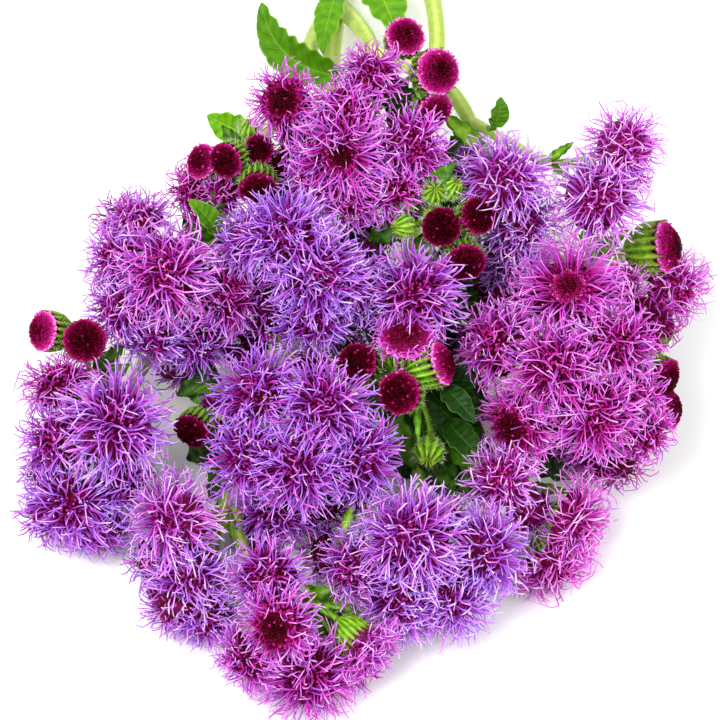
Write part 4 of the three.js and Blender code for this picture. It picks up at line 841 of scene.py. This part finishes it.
def bract(base, tip, width, bright=0.8):
    """A small leafy bract: a flat loop of points carried along a rib that arches back, widest low down;
    bright runs from a near-black green, painted shade for bracts deep among the flowers, to fresh.

    Its half width follows sin(pi * (0.12 + 0.86 t) ** 0.7) ** 0.8 with four teeth, and its edges lift out of
    the flower face.
    """
    t = np.linspace(0, 1, 9)[:, None]
    along = tip - base
    length = np.linalg.norm(along)
    way = along / length
    up = square_to(FACE[2], way)
    rib = base + along * t + up * length * BRACT.arch * t * (1 - t)
    teeth = 1 + BRACT.tooth * np.cos(8 * math.pi * t)
    half = width / 2 * np.sin(math.pi * (0.12 + 0.86 * t) ** 0.7) ** 0.8 * teeth
    x = np.array([-1.0, -0.5, 0.0, 0.5, 1.0, 0.5, 0.0, -0.5])
    lift = np.abs(x) * half * BRACT.cupped - BRACT.thick * np.array([0, 0, 0, 0, 0, 1, 1, 1])
    rings = rib[:, None] + np.cross(way, up) * (x * half)[..., None] + up * lift[..., None]
    return skins(rings[None], (t * 0.7)[None], in_band((1 - np.abs(x) * 0.6) * bright, CUP_BAND)[None, None])


def spray_greens(letter, heads, tucked, rng):
    """A spray's knob, bracts, stalks, cups, closed buds and hairs."""
    fork = heads[0].fork
    parts = [hub(fork)]
    for one in tucked:
        parts += [stalk(one)[0], cup(one)]
    for one in heads:
        tube, path, radii = stalk(one)
        parts += [tube, tube_hairs(path, radii, HAIR.along_stalk, rng), cup_hairs(one, rng)]
        parts.append(closed_bud(one) if one.kind == "closed" else cup(one))
    for one in heads[:FORK_BRACT.most]:
        way = unit(unit(one.bend - fork) + rng.normal(0, FORK_BRACT.wobble, 3))
        tip = fork + way * rng.uniform(*FORK_BRACT.reach)
        parts.append(bract(fork + way * FORK_BRACT.starts, tip, rng.uniform(*FORK_BRACT.width)))
    for base, tip, width, bright in BRACTS.get(letter, []):
        parts.append(bract(on_face(base), on_face(tip), width, bright))
    return parts


# ---------- Main stem and branches ----------


def route(stations, ends_at=None):
    """A branch's smooth route with its radius, ending in its fork's knob."""
    table = np.array(stations, float)
    table[:, :3] -= CENTRE
    if ends_at:
        fork = on_face(SPRAYS[ends_at][0])
        table = np.concatenate([table, [[*fork, table[-1, 3] * 0.92]]])
    return through(table, 6)


def stem_parts(rng):
    """Tubes along every route, with shallow ridges, a swelling at each fork and fine hairs."""
    parts = []
    for ends_at, stations in [(None, MAIN), *BRANCHES]:
        is_main = ends_at is None
        line = route(stations, ends_at)
        swell = 1 + SWELL.more * np.exp(-((np.arange(len(line)) / SWELL.fades) ** 2)) * (not is_main)
        path, radii = line[None, :, :3], (line[:, 3] * swell)[None]
        sides = 24 if is_main else 12
        ribs = sides // 3
        along = np.linspace(0.05, 0.75 if is_main else 1.0, len(line))[None, :, None]
        streak = in_band(0.5 + 0.5 * np.cos(ribs * turns(sides)), SKIN_BAND)[None, None]
        parts.append(skins(tube_rings(path, radii, sides, ribs), along, streak))
        parts.append(tube_hairs(line[:, :3], line[:, 3], HAIR.along_stem, rng))
    return parts


# ---------- Leaves ----------


def petiole(one, base, way):
    """The line of a leaf's stalk, from the nearest point of all the routes to a given one, to the base."""
    lines = np.concatenate([route(MAIN)] + [route(stations, letter) for letter, stations in BRANCHES])[:, :3]
    found = lines[np.argmin(np.linalg.norm(lines - (np.array(one.root) - CENTRE), axis=1))]
    root = found + unit(base - found) * 0.3
    lead = min(PETIOLE.lead, np.linalg.norm(root - base) / 2)
    places = np.linspace(0, 1, PETIOLE.steps, endpoint=False)
    return bezier([root[None], (base - way * lead)[None], base[None]], places)[0]


def blade_outline(t):
    """Half a blade's width as a share of its greatest, without teeth: sin(pi * t ** lean) ** round."""
    outline = np.sin(math.pi * np.minimum((BLADE.start + (1 - BLADE.start) * t) ** BLADE.lean, 1.0))
    return np.maximum(outline, 0.0) ** BLADE.round


def notched(half, places):
    """Half widths cut by a rounded saw: each tooth rises slowly to two thirds of its length, then drops."""
    saw = places % 1
    tooth = np.where(saw < 0.66, (saw / 0.66) ** 0.8, np.maximum((1 - saw) / 0.34, 0) ** 0.6)
    return half * (BLADE.notch + (BLADE.tooth - BLADE.notch) * tooth)


def blade_relief(places, x):
    """How far a blade stands above its plane: sunk at the rib and the side veins, and waved at its edges."""
    vein = np.abs((places - np.abs(x) * VEIN.slant + 0.5) % 1 - 0.5)
    rib = -VEIN.rib * np.exp(-((x / VEIN.rib_width) ** 2))
    side = VEIN.side * np.exp(-((vein / VEIN.side_width) ** 2))
    return rib - side + VEIN.between + BLADE.wave * np.sin(places * 2 * math.pi + 1.0) * x**2


def after_stalk(value, along_blade):
    """One number for every step of a leaf's stalk, then its numbers along the blade, as a column."""
    return np.concatenate([np.full(PETIOLE.steps, value), along_blade])[:, None]


def leaf_shape(one):
    """A leaf: a loop of points carried from the stalk's root to the blade's tip.

    The blade folds up from its rib, arches along its length and stands up by its relief.
    """
    base, tip = on_face(one.base), on_face(one.tip)
    along = tip - base
    way = unit(along)
    up = square_to(np.array(one.look) @ FACE, way)
    t = np.linspace(0, 1, one.teeth * 8 + 1)
    outline = blade_outline(t)
    half = notched(one.width / 2 * outline, t * one.teeth)
    half = after_stalk(PETIOLE.half, np.maximum(half, np.where(t < 0.5, PETIOLE.half, 0.06)))
    bow = up * one.arch + np.cross(way, up) * one.bend
    rib = base + along * t[:, None] + bow * (4 * t * (1 - t))[:, None]
    rib = np.concatenate([petiole(one, base, way), rib])
    blade = after_stalk(0.0, np.minimum(outline * 3, 1))
    ways = unit(np.gradient(rib, axis=0))
    ups = square_to(up, ways)
    x = np.linspace(-1, 1, 13)
    fold = one.fold * blade
    bend = np.sqrt(x**2 + 0.02) - 0.141
    rise = half * np.sin(fold) * bend + blade_relief(after_stalk(0.0, t) * one.teeth, x) * blade
    edge = np.sqrt(np.maximum(1 - x**2, 0)) ** 0.5
    thick = np.where(blade > 0.5, BLADE.thick, PETIOLE.thick) * (0.25 + 0.75 * edge)
    uneven = 1 + one.skew * np.sign(x) * blade
    flat = np.cross(ways, ups)[:, None] * (x * uneven * half * np.cos(fold))[..., None]
    top = rib[:, None] + flat + ups[:, None] * rise[..., None]
    below = (top - ups[:, None] * thick[..., None])[:, ::-1]
    run = np.concatenate([x, x[::-1]])[None, None] * 0.5 + 0.5
    long = after_stalk(0.0, np.linspace(0.04, 1, len(t)))
    bands = [np.broadcast_to(in_band(long, band), (len(rib), len(x))) for band in (UPPER_BAND, UNDER_BAND)]
    return skins(np.concatenate([top, below], axis=1)[None], run, np.concatenate(bands, axis=1)[None])


# ---------- Materials ----------


def paint(red, green, blue):
    """A colour given from 0 to 255, as the linear light that a shader takes."""
    return tuple((part / 255) ** 2.2 for part in (red, green, blue)) + (1.0,)


def blend(first, second, share):
    """A colour between two others."""
    return tuple(a * (1 - share) + b * share for a, b in zip(first, second))


class Nodes:
    """A tree of shader nodes, with short ways to add nodes to it and to join them."""

    def __init__(self, tree):
        self.tree = tree

    def add(self, kind, fed=None, **settings):
        """A new node with its settings, and its inputs fed by name."""
        node = self.tree.nodes.new(kind)
        for name, value in settings.items():
            setattr(node, name, value)
        for name, value in (fed or {}).items():
            self.feed(node.inputs[name], value)
        return node

    def feed(self, socket, value):
        """Joins a socket to another one, or gives it a plain number or colour."""
        if isinstance(value, (int, float, tuple)):
            socket.default_value = value
        else:
            self.tree.links.new(value, socket)

    def ramp(self, factor, *stops):
        """A colour ramp through stops, each a place and its red, green and blue."""
        node = self.add("ShaderNodeValToRGB", {"Fac": factor})
        elements = node.color_ramp.elements
        while len(elements) < len(stops):
            elements.new(0.5)
        for element, (place, *colour) in zip(elements, stops):
            element.position = place
            element.color = paint(*colour)
        return node.outputs["Color"]

    def sums(self, operation, *values):
        """One Math node over sockets or plain numbers."""
        node = self.add("ShaderNodeMath", operation=operation)
        for socket, value in zip(node.inputs, values):
            self.feed(socket, value)
        return node.outputs["Value"]

    def share(self, value, low, high):
        """How far a value lies between low and high, from 0 to 1."""
        node = self.add("ShaderNodeMapRange", {"Value": value, "From Min": low, "From Max": high})
        return node.outputs["Result"]

    def mix(self, factor, first, second):
        """Two colours mixed by a factor."""
        node = self.add("ShaderNodeMix", data_type="RGBA")
        for name, value in (("Factor_Float", factor), ("A_Color", first), ("B_Color", second)):
            self.feed(next(s for s in node.inputs if s.identifier == name), value)
        return next(s for s in node.outputs if s.identifier == "Result_Color")


FLOAT, COLOUR, VECTOR = "NodeSocketFloat", "NodeSocketColor", "NodeSocketVector"


class Effect(Nodes):
    """A shader node group with named inputs and outputs, shared by several finishes."""

    def __init__(self, name, takes, gives):
        super().__init__(bpy.data.node_groups.new(name, "ShaderNodeTree"))
        for side, sockets in (("INPUT", takes), ("OUTPUT", gives)):
            for socket, kind in sockets.items():
                self.tree.interface.new_socket(socket, in_out=side, socket_type=kind)
        self.takes = self.add("NodeGroupInput").outputs
        self.gives = self.add("NodeGroupOutput").inputs

    def noise(self, scale):
        """Fine cloudy noise over the piece."""
        node = self.add("ShaderNodeTexNoise", {"Scale": scale, "Detail": 4, "Vector": self.takes["Place"]})
        return node.outputs["Fac"]


class Finish(Nodes):
    """A new material with its Principled shader. run and band are the two numbers of a piece's map."""

    def __init__(self, name, **plain):
        self.material = bpy.data.materials.new(name)
        self.material.use_nodes = True
        super().__init__(self.material.node_tree)
        self.shader = self.tree.nodes["Principled BSDF"].inputs
        for socket, value in plain.items():
            self.shader[socket.replace("_", " ")].default_value = value
        finish_map = self.add("ShaderNodeUVMap", uv_map="finish").outputs["UV"]
        split = self.add("ShaderNodeSeparateXYZ", {"Vector": finish_map})
        self.run, self.band = split.outputs["X"], split.outputs["Y"]

    def use(self, effect, **values):
        """The outputs of a shared effect, fed with the map's numbers and any values by name."""
        fed = {"Run": self.run, "Band": self.band, **values}
        return self.add("ShaderNodeGroup", fed, node_tree=effect.tree).outputs

    def coat(self, colour, roughness):
        """Gives the shader its colour and its roughness."""
        self.feed(self.shader["Base Color"], colour)
        self.feed(self.shader["Roughness"], roughness)

    def bump(self, height, strength, distance):
        """Relief on the shader's normal."""
        node = self.add("ShaderNodeBump", {"Strength": strength, "Distance": distance, "Height": height})
        self.feed(self.shader["Normal"], node.outputs["Normal"])


def granule_effect():
    """Granules run from near black in the middle of a head to pink at its rim; their feet are painted darker,
    as painted shade in the gaps between them.
    """
    nodes = Effect("granule_glow", {"Run": FLOAT, "Band": FLOAT}, {"Colour": COLOUR})
    glow = nodes.share(nodes.takes["Band"], *GRANULE_BAND)
    tips = nodes.ramp(glow, (0.0, 32, 2, 8), (0.2, 80, 8, 30), (0.45, 142, 22, 84), (0.75, 190, 50, 146),
                      (1.0, 238, 126, 206))
    shaded_gaps = nodes.mix(0.76, tips, paint(24, 0, 8))
    nodes.feed(nodes.gives["Colour"], nodes.mix(nodes.share(nodes.takes["Run"], 0.3, 0.85), shaded_gaps, tips))
    return nodes


def petal_finish(granule):
    """Threads from dark wine roots, painted shade deep in the head, to near-white tips, a painted highlight
    over their own paler lilac or pink; florets with bright mouths, dark feet and dimples as painted shade;
    and velvety granules, by band.
    """
    skin = Finish("floret_silk", IOR=1.15, Specular_IOR_Level=0.35)
    violet = skin.ramp(skin.run, (0.0, 90, 6, 70), (0.12, 146, 32, 138), (0.3, 150, 78, 206),
                       (0.6, 180, 128, 236), (1.0, 228, 206, 253))
    magenta = skin.ramp(skin.run, (0.0, 90, 2, 50), (0.15, 176, 22, 119), (0.4, 206, 62, 182),
                        (0.7, 228, 112, 214), (1.0, 246, 186, 243))
    threads = skin.mix(skin.share(skin.band, *THREAD_BAND), violet, magenta)
    cool_mouth = skin.ramp(skin.run, (0.0, 34, 0, 20), (0.5, 110, 8, 80), (0.85, 184, 54, 170),
                           (1.0, 120, 14, 96))
    warm_mouth = skin.ramp(skin.run, (0.0, 34, 0, 14), (0.5, 122, 4, 64), (0.85, 212, 50, 152),
                           (1.0, 128, 8, 76))
    florets = skin.mix(skin.share(skin.band, *FLORET_BAND), cool_mouth, warm_mouth)
    is_floret = skin.sums("GREATER_THAN", skin.band, FLORETS_FROM)
    is_bead = skin.sums("GREATER_THAN", skin.band, GRANULES_FROM)
    beads = skin.use(granule)["Colour"]
    colour = skin.mix(is_bead, skin.mix(is_floret, threads, florets), beads)
    skin.coat(colour, skin.share(skin.run, -1.4, 1.9))
    return skin.material


def bud_finish(granule):
    """The velvet of unopened heads."""
    skin = Finish("bud_velvet", IOR=1.1, Specular_IOR_Level=0.2)
    skin.coat(skin.use(granule)["Colour"], skin.share(skin.run, -1.5, 1.8))
    return skin.material


def green_effect():
    """Stalk skin with pale streaks, ribbed cups flushed wine at their tips, and pale hairs, by band."""
    takes = {"Run": FLOAT, "Band": FLOAT, "Place": VECTOR, "Pale": COLOUR, "Fresh": COLOUR, "Deep": COLOUR}
    nodes = Effect("hairy_skin", takes, {"Colour": COLOUR, "Roughness": FLOAT})
    run, band, _, pale, fresh, deep = (nodes.takes[name] for name in takes)
    uneven = nodes.sums("MULTIPLY_ADD", nodes.noise(900), 1.3, -0.65)
    flesh = nodes.mix(nodes.sums("ADD", nodes.share(band, *SKIN_BAND), uneven), deep, pale)
    flush = nodes.mix(nodes.share(run, 0.0, 0.5), pale, fresh)
    stalks = nodes.mix(nodes.share(run, 0.8, 1.1), nodes.mix(0.5, flesh, flush), deep)
    crest = nodes.sums("ADD", nodes.share(band, *CUP_BAND), uneven)
    body = nodes.mix(nodes.share(crest, -0.12, 1.0), deep, fresh)
    body = nodes.mix(nodes.share(crest, 0.55, 1.4), body, pale)
    cups = nodes.mix(nodes.share(run, 0.64, 1.1), body, paint(96, 30, 46))
    is_cup = nodes.sums("GREATER_THAN", band, CUPS_FROM)
    is_hair = nodes.sums("GREATER_THAN", band, HAIRS_FROM)
    colour = nodes.mix(is_hair, nodes.mix(is_cup, stalks, cups), paint(206, 220, 172))
    nodes.feed(nodes.gives["Colour"], colour)
    nodes.feed(nodes.gives["Roughness"], nodes.share(run, -1.2, 2.2))
    return nodes


def green_finish(effect, name, pale, fresh, deep):
    """A green skin in three shades, with its ribs standing up a little."""
    skin = Finish(name, IOR=1.35, Specular_IOR_Level=0.35)
    place = skin.add("ShaderNodeTexCoord").outputs["Object"]
    shades = skin.use(effect, Place=place, Pale=pale, Fresh=fresh, Deep=deep)
    skin.coat(shades["Colour"], shades["Roughness"])
    skin.bump(skin.band, 0.3, 0.0004)
    return skin.material


def leaf_effect():
    """Fine pale veins on a leaf's upper face, mottled green between them, and a paler underside."""
    takes = {"Run": FLOAT, "Band": FLOAT, "Place": VECTOR, "Deep": COLOUR, "Fresh": COLOUR, "Vein": COLOUR}
    nodes = Effect("leaf_veins", takes, {"Colour": COLOUR, "Roughness": FLOAT, "Height": FLOAT})
    run, band, _, deep, fresh, vein = (nodes.takes[name] for name in takes)
    along = nodes.share(band, *UPPER_BAND)
    aside = nodes.sums("ABSOLUTE", nodes.sums("MULTIPLY_ADD", run, 2.0, -1.0))
    rank = nodes.sums("MULTIPLY_ADD", along, 7.0, nodes.sums("MULTIPLY", aside, -0.9))
    cycle = nodes.sums("FRACT", nodes.sums("ADD", rank, 0.5))
    off = nodes.sums("ABSOLUTE", nodes.sums("SUBTRACT", cycle, 0.5))
    rib = nodes.share(aside, 0.06, 0.015)
    side_vein = nodes.sums("MULTIPLY", nodes.share(off, 0.07, 0.01), nodes.share(aside, 1.0, 0.1))
    noise = nodes.noise(700)
    quilt = nodes.sums("MULTIPLY_ADD", nodes.share(off, 0.0, 0.5), 0.3, noise)
    mottled = nodes.mix(nodes.share(quilt, 0.25, 1.0), deep, fresh)
    margin = nodes.mix(nodes.share(aside, 0.9, 0.99), mottled, vein)
    veins = nodes.sums("MAXIMUM", nodes.sums("MULTIPLY", rib, 0.8), nodes.sums("MULTIPLY", side_vein, 0.5))
    upper = nodes.mix(veins, margin, vein)
    lower = nodes.mix(veins, nodes.mix(0.5, fresh, vein), vein)
    is_under = nodes.sums("GREATER_THAN", band, UNDERSIDE_FROM)
    nodes.feed(nodes.gives["Colour"], nodes.mix(is_under, upper, lower))
    nodes.feed(nodes.gives["Roughness"], nodes.share(noise, -1.0, 1.8))
    nodes.feed(nodes.gives["Height"], nodes.sums("SUBTRACT", quilt, veins))
    return nodes


def leaf_finish(effect, name, share):
    """A leaf's green: share runs from a near-black green, painted shade for the leaves deep among the
    flowers, to a fresh one.
    """
    skin = Finish(name, Specular_IOR_Level=0.22)
    shades = skin.use(
        effect, Place=skin.add("ShaderNodeTexCoord").outputs["Object"],
        Deep=blend(paint(6, 26, 2), paint(70, 136, 2), share),
        Fresh=blend(paint(24, 66, 4), paint(126, 196, 8), share),
        Vein=blend(paint(56, 104, 22), paint(170, 214, 70), share))
    skin.coat(shades["Colour"], shades["Roughness"])
    skin.bump(shades["Height"], 0.5, 0.0005)
    return skin.material


def backdrop_finish():
    """A plain white floor."""
    return Finish("white_floor", Base_Color=(0.93, 0.93, 0.94, 1), Roughness=0.7,
                  Specular_IOR_Level=0.2).material


# ---------- Building the pieces ----------

STEM_SEED = 7

granule = granule_effect()
petals = petal_finish(granule)
velvet = bud_finish(granule)
green = green_effect()
# hairy_green's deep green is near black: the dark green of the cups and stalks, and painted shade on the
# bracts tucked deep among the flowers.
greens = green_finish(green, "hairy_green", paint(182, 216, 70), paint(104, 168, 16), paint(16, 44, 4))
stem_skin = green_finish(green, "stem_skin", paint(208, 220, 128), paint(160, 190, 66), paint(108, 146, 40))
veined = leaf_effect()

new_piece("stem_and_branches", stem_parts(np.random.default_rng(STEM_SEED)), stem_skin, ["main_stem"])

for letter, (fork_place, reach, heads) in SPRAYS.items():
    rng = np.random.default_rng(ord(letter))
    spray = (fork_place, reach, SPRAY_PAINTED_LIGHT.get(letter, 1.0), LIME.get(letter, 0.0))
    grown = [placed(*spray, one) for one in heads]
    tucked = [placed(*spray, one) for one in TUCKED.get(letter, [])]
    new_piece(f"spray_{letter}_greens", spray_greens(letter, grown, tucked, rng), greens,
              [f"spray_{letter}_stalks"])
    blooms = [one for one in grown + tucked if one.blooms]
    if blooms:
        new_piece(f"spray_{letter}_bloom", [part for one in blooms for part in bloom(one, rng)], petals,
                  [f"spray_{letter}_florets"], resting=0.02)
    for number, one in enumerate(grown, 1):
        if one.kind == "bud":
            radius = one.cup_rim * BUD_DOME.wide
            glow = by_hue(one, *BUD_DOME.glow)
            dome = granules(one, radius, BUD_DOME.tall, BUD_DOME.lowest, glow, rng)
            node = f"bud_{letter}_{number}"
            new_piece(f"{node}_velvet", [heart(one, radius * BUD_DOME.heart), dome], velvet, [node])

for name, blades in LEAVES.items():
    finish = leaf_finish(veined, f"{name}_green", blades[0].green)
    new_piece(f"{name}_blade", [leaf_shape(one) for one in blades], finish, [name])

# ---------- Floor, light and camera ----------

FLOOR_HALF = 3.0
floor_mesh = bpy.data.meshes.new("floor")
floor_mesh.from_pydata([(x * FLOOR_HALF, y * FLOOR_HALF, 0) for x, y in ((-1, -1), (1, -1), (1, 1), (-1, 1))],
                       [], [(0, 1, 2, 3)])
floor_mesh.uv_layers.new(name="finish")
floor_mesh.materials.append(backdrop_finish())
floor = put("floor", floor_mesh)

AIM = Vector(on_face((0, 0, 32)) * MM)
CAMERA_DISTANCE = 1.6
CAMERA_LENS = 520


def looking_at(thing, place, target):
    """Puts a lamp or camera at a place, turned to a target."""
    thing.location = place
    thing.rotation_euler = (target - place).to_track_quat("-Z", "Y").to_euler()


def soft_box(name, place, size, power, colour):
    """A square area light aimed at the flowers."""
    lamp = bpy.data.lights.new(name, "AREA")
    lamp.size = size
    lamp.energy = power
    lamp.color = colour
    looking_at(put(name, lamp), Vector(place), AIM)


soft_box("key_light", (-0.4, -0.35, 1.0), 0.5, 12.5, (1.0, 0.99, 0.97))
soft_box("fill_light", (0.8, -0.5, 0.8), 0.8, 7.0, (0.97, 0.98, 1.0))

world = bpy.data.worlds.new("studio")
world.use_nodes = True
background = world.node_tree.nodes["Background"].inputs
background["Color"].default_value = (1, 1, 1, 1)
background["Strength"].default_value = 0.93
scene = bpy.context.scene
scene.world = world
scene.view_settings.view_transform = "Standard"

camera_data = bpy.data.cameras.new("camera")
camera_data.lens = CAMERA_LENS
camera = put("camera", camera_data)
looking_at(camera, AIM + Vector(FACE[2]) * CAMERA_DISTANCE, AIM)
scene.camera = camera
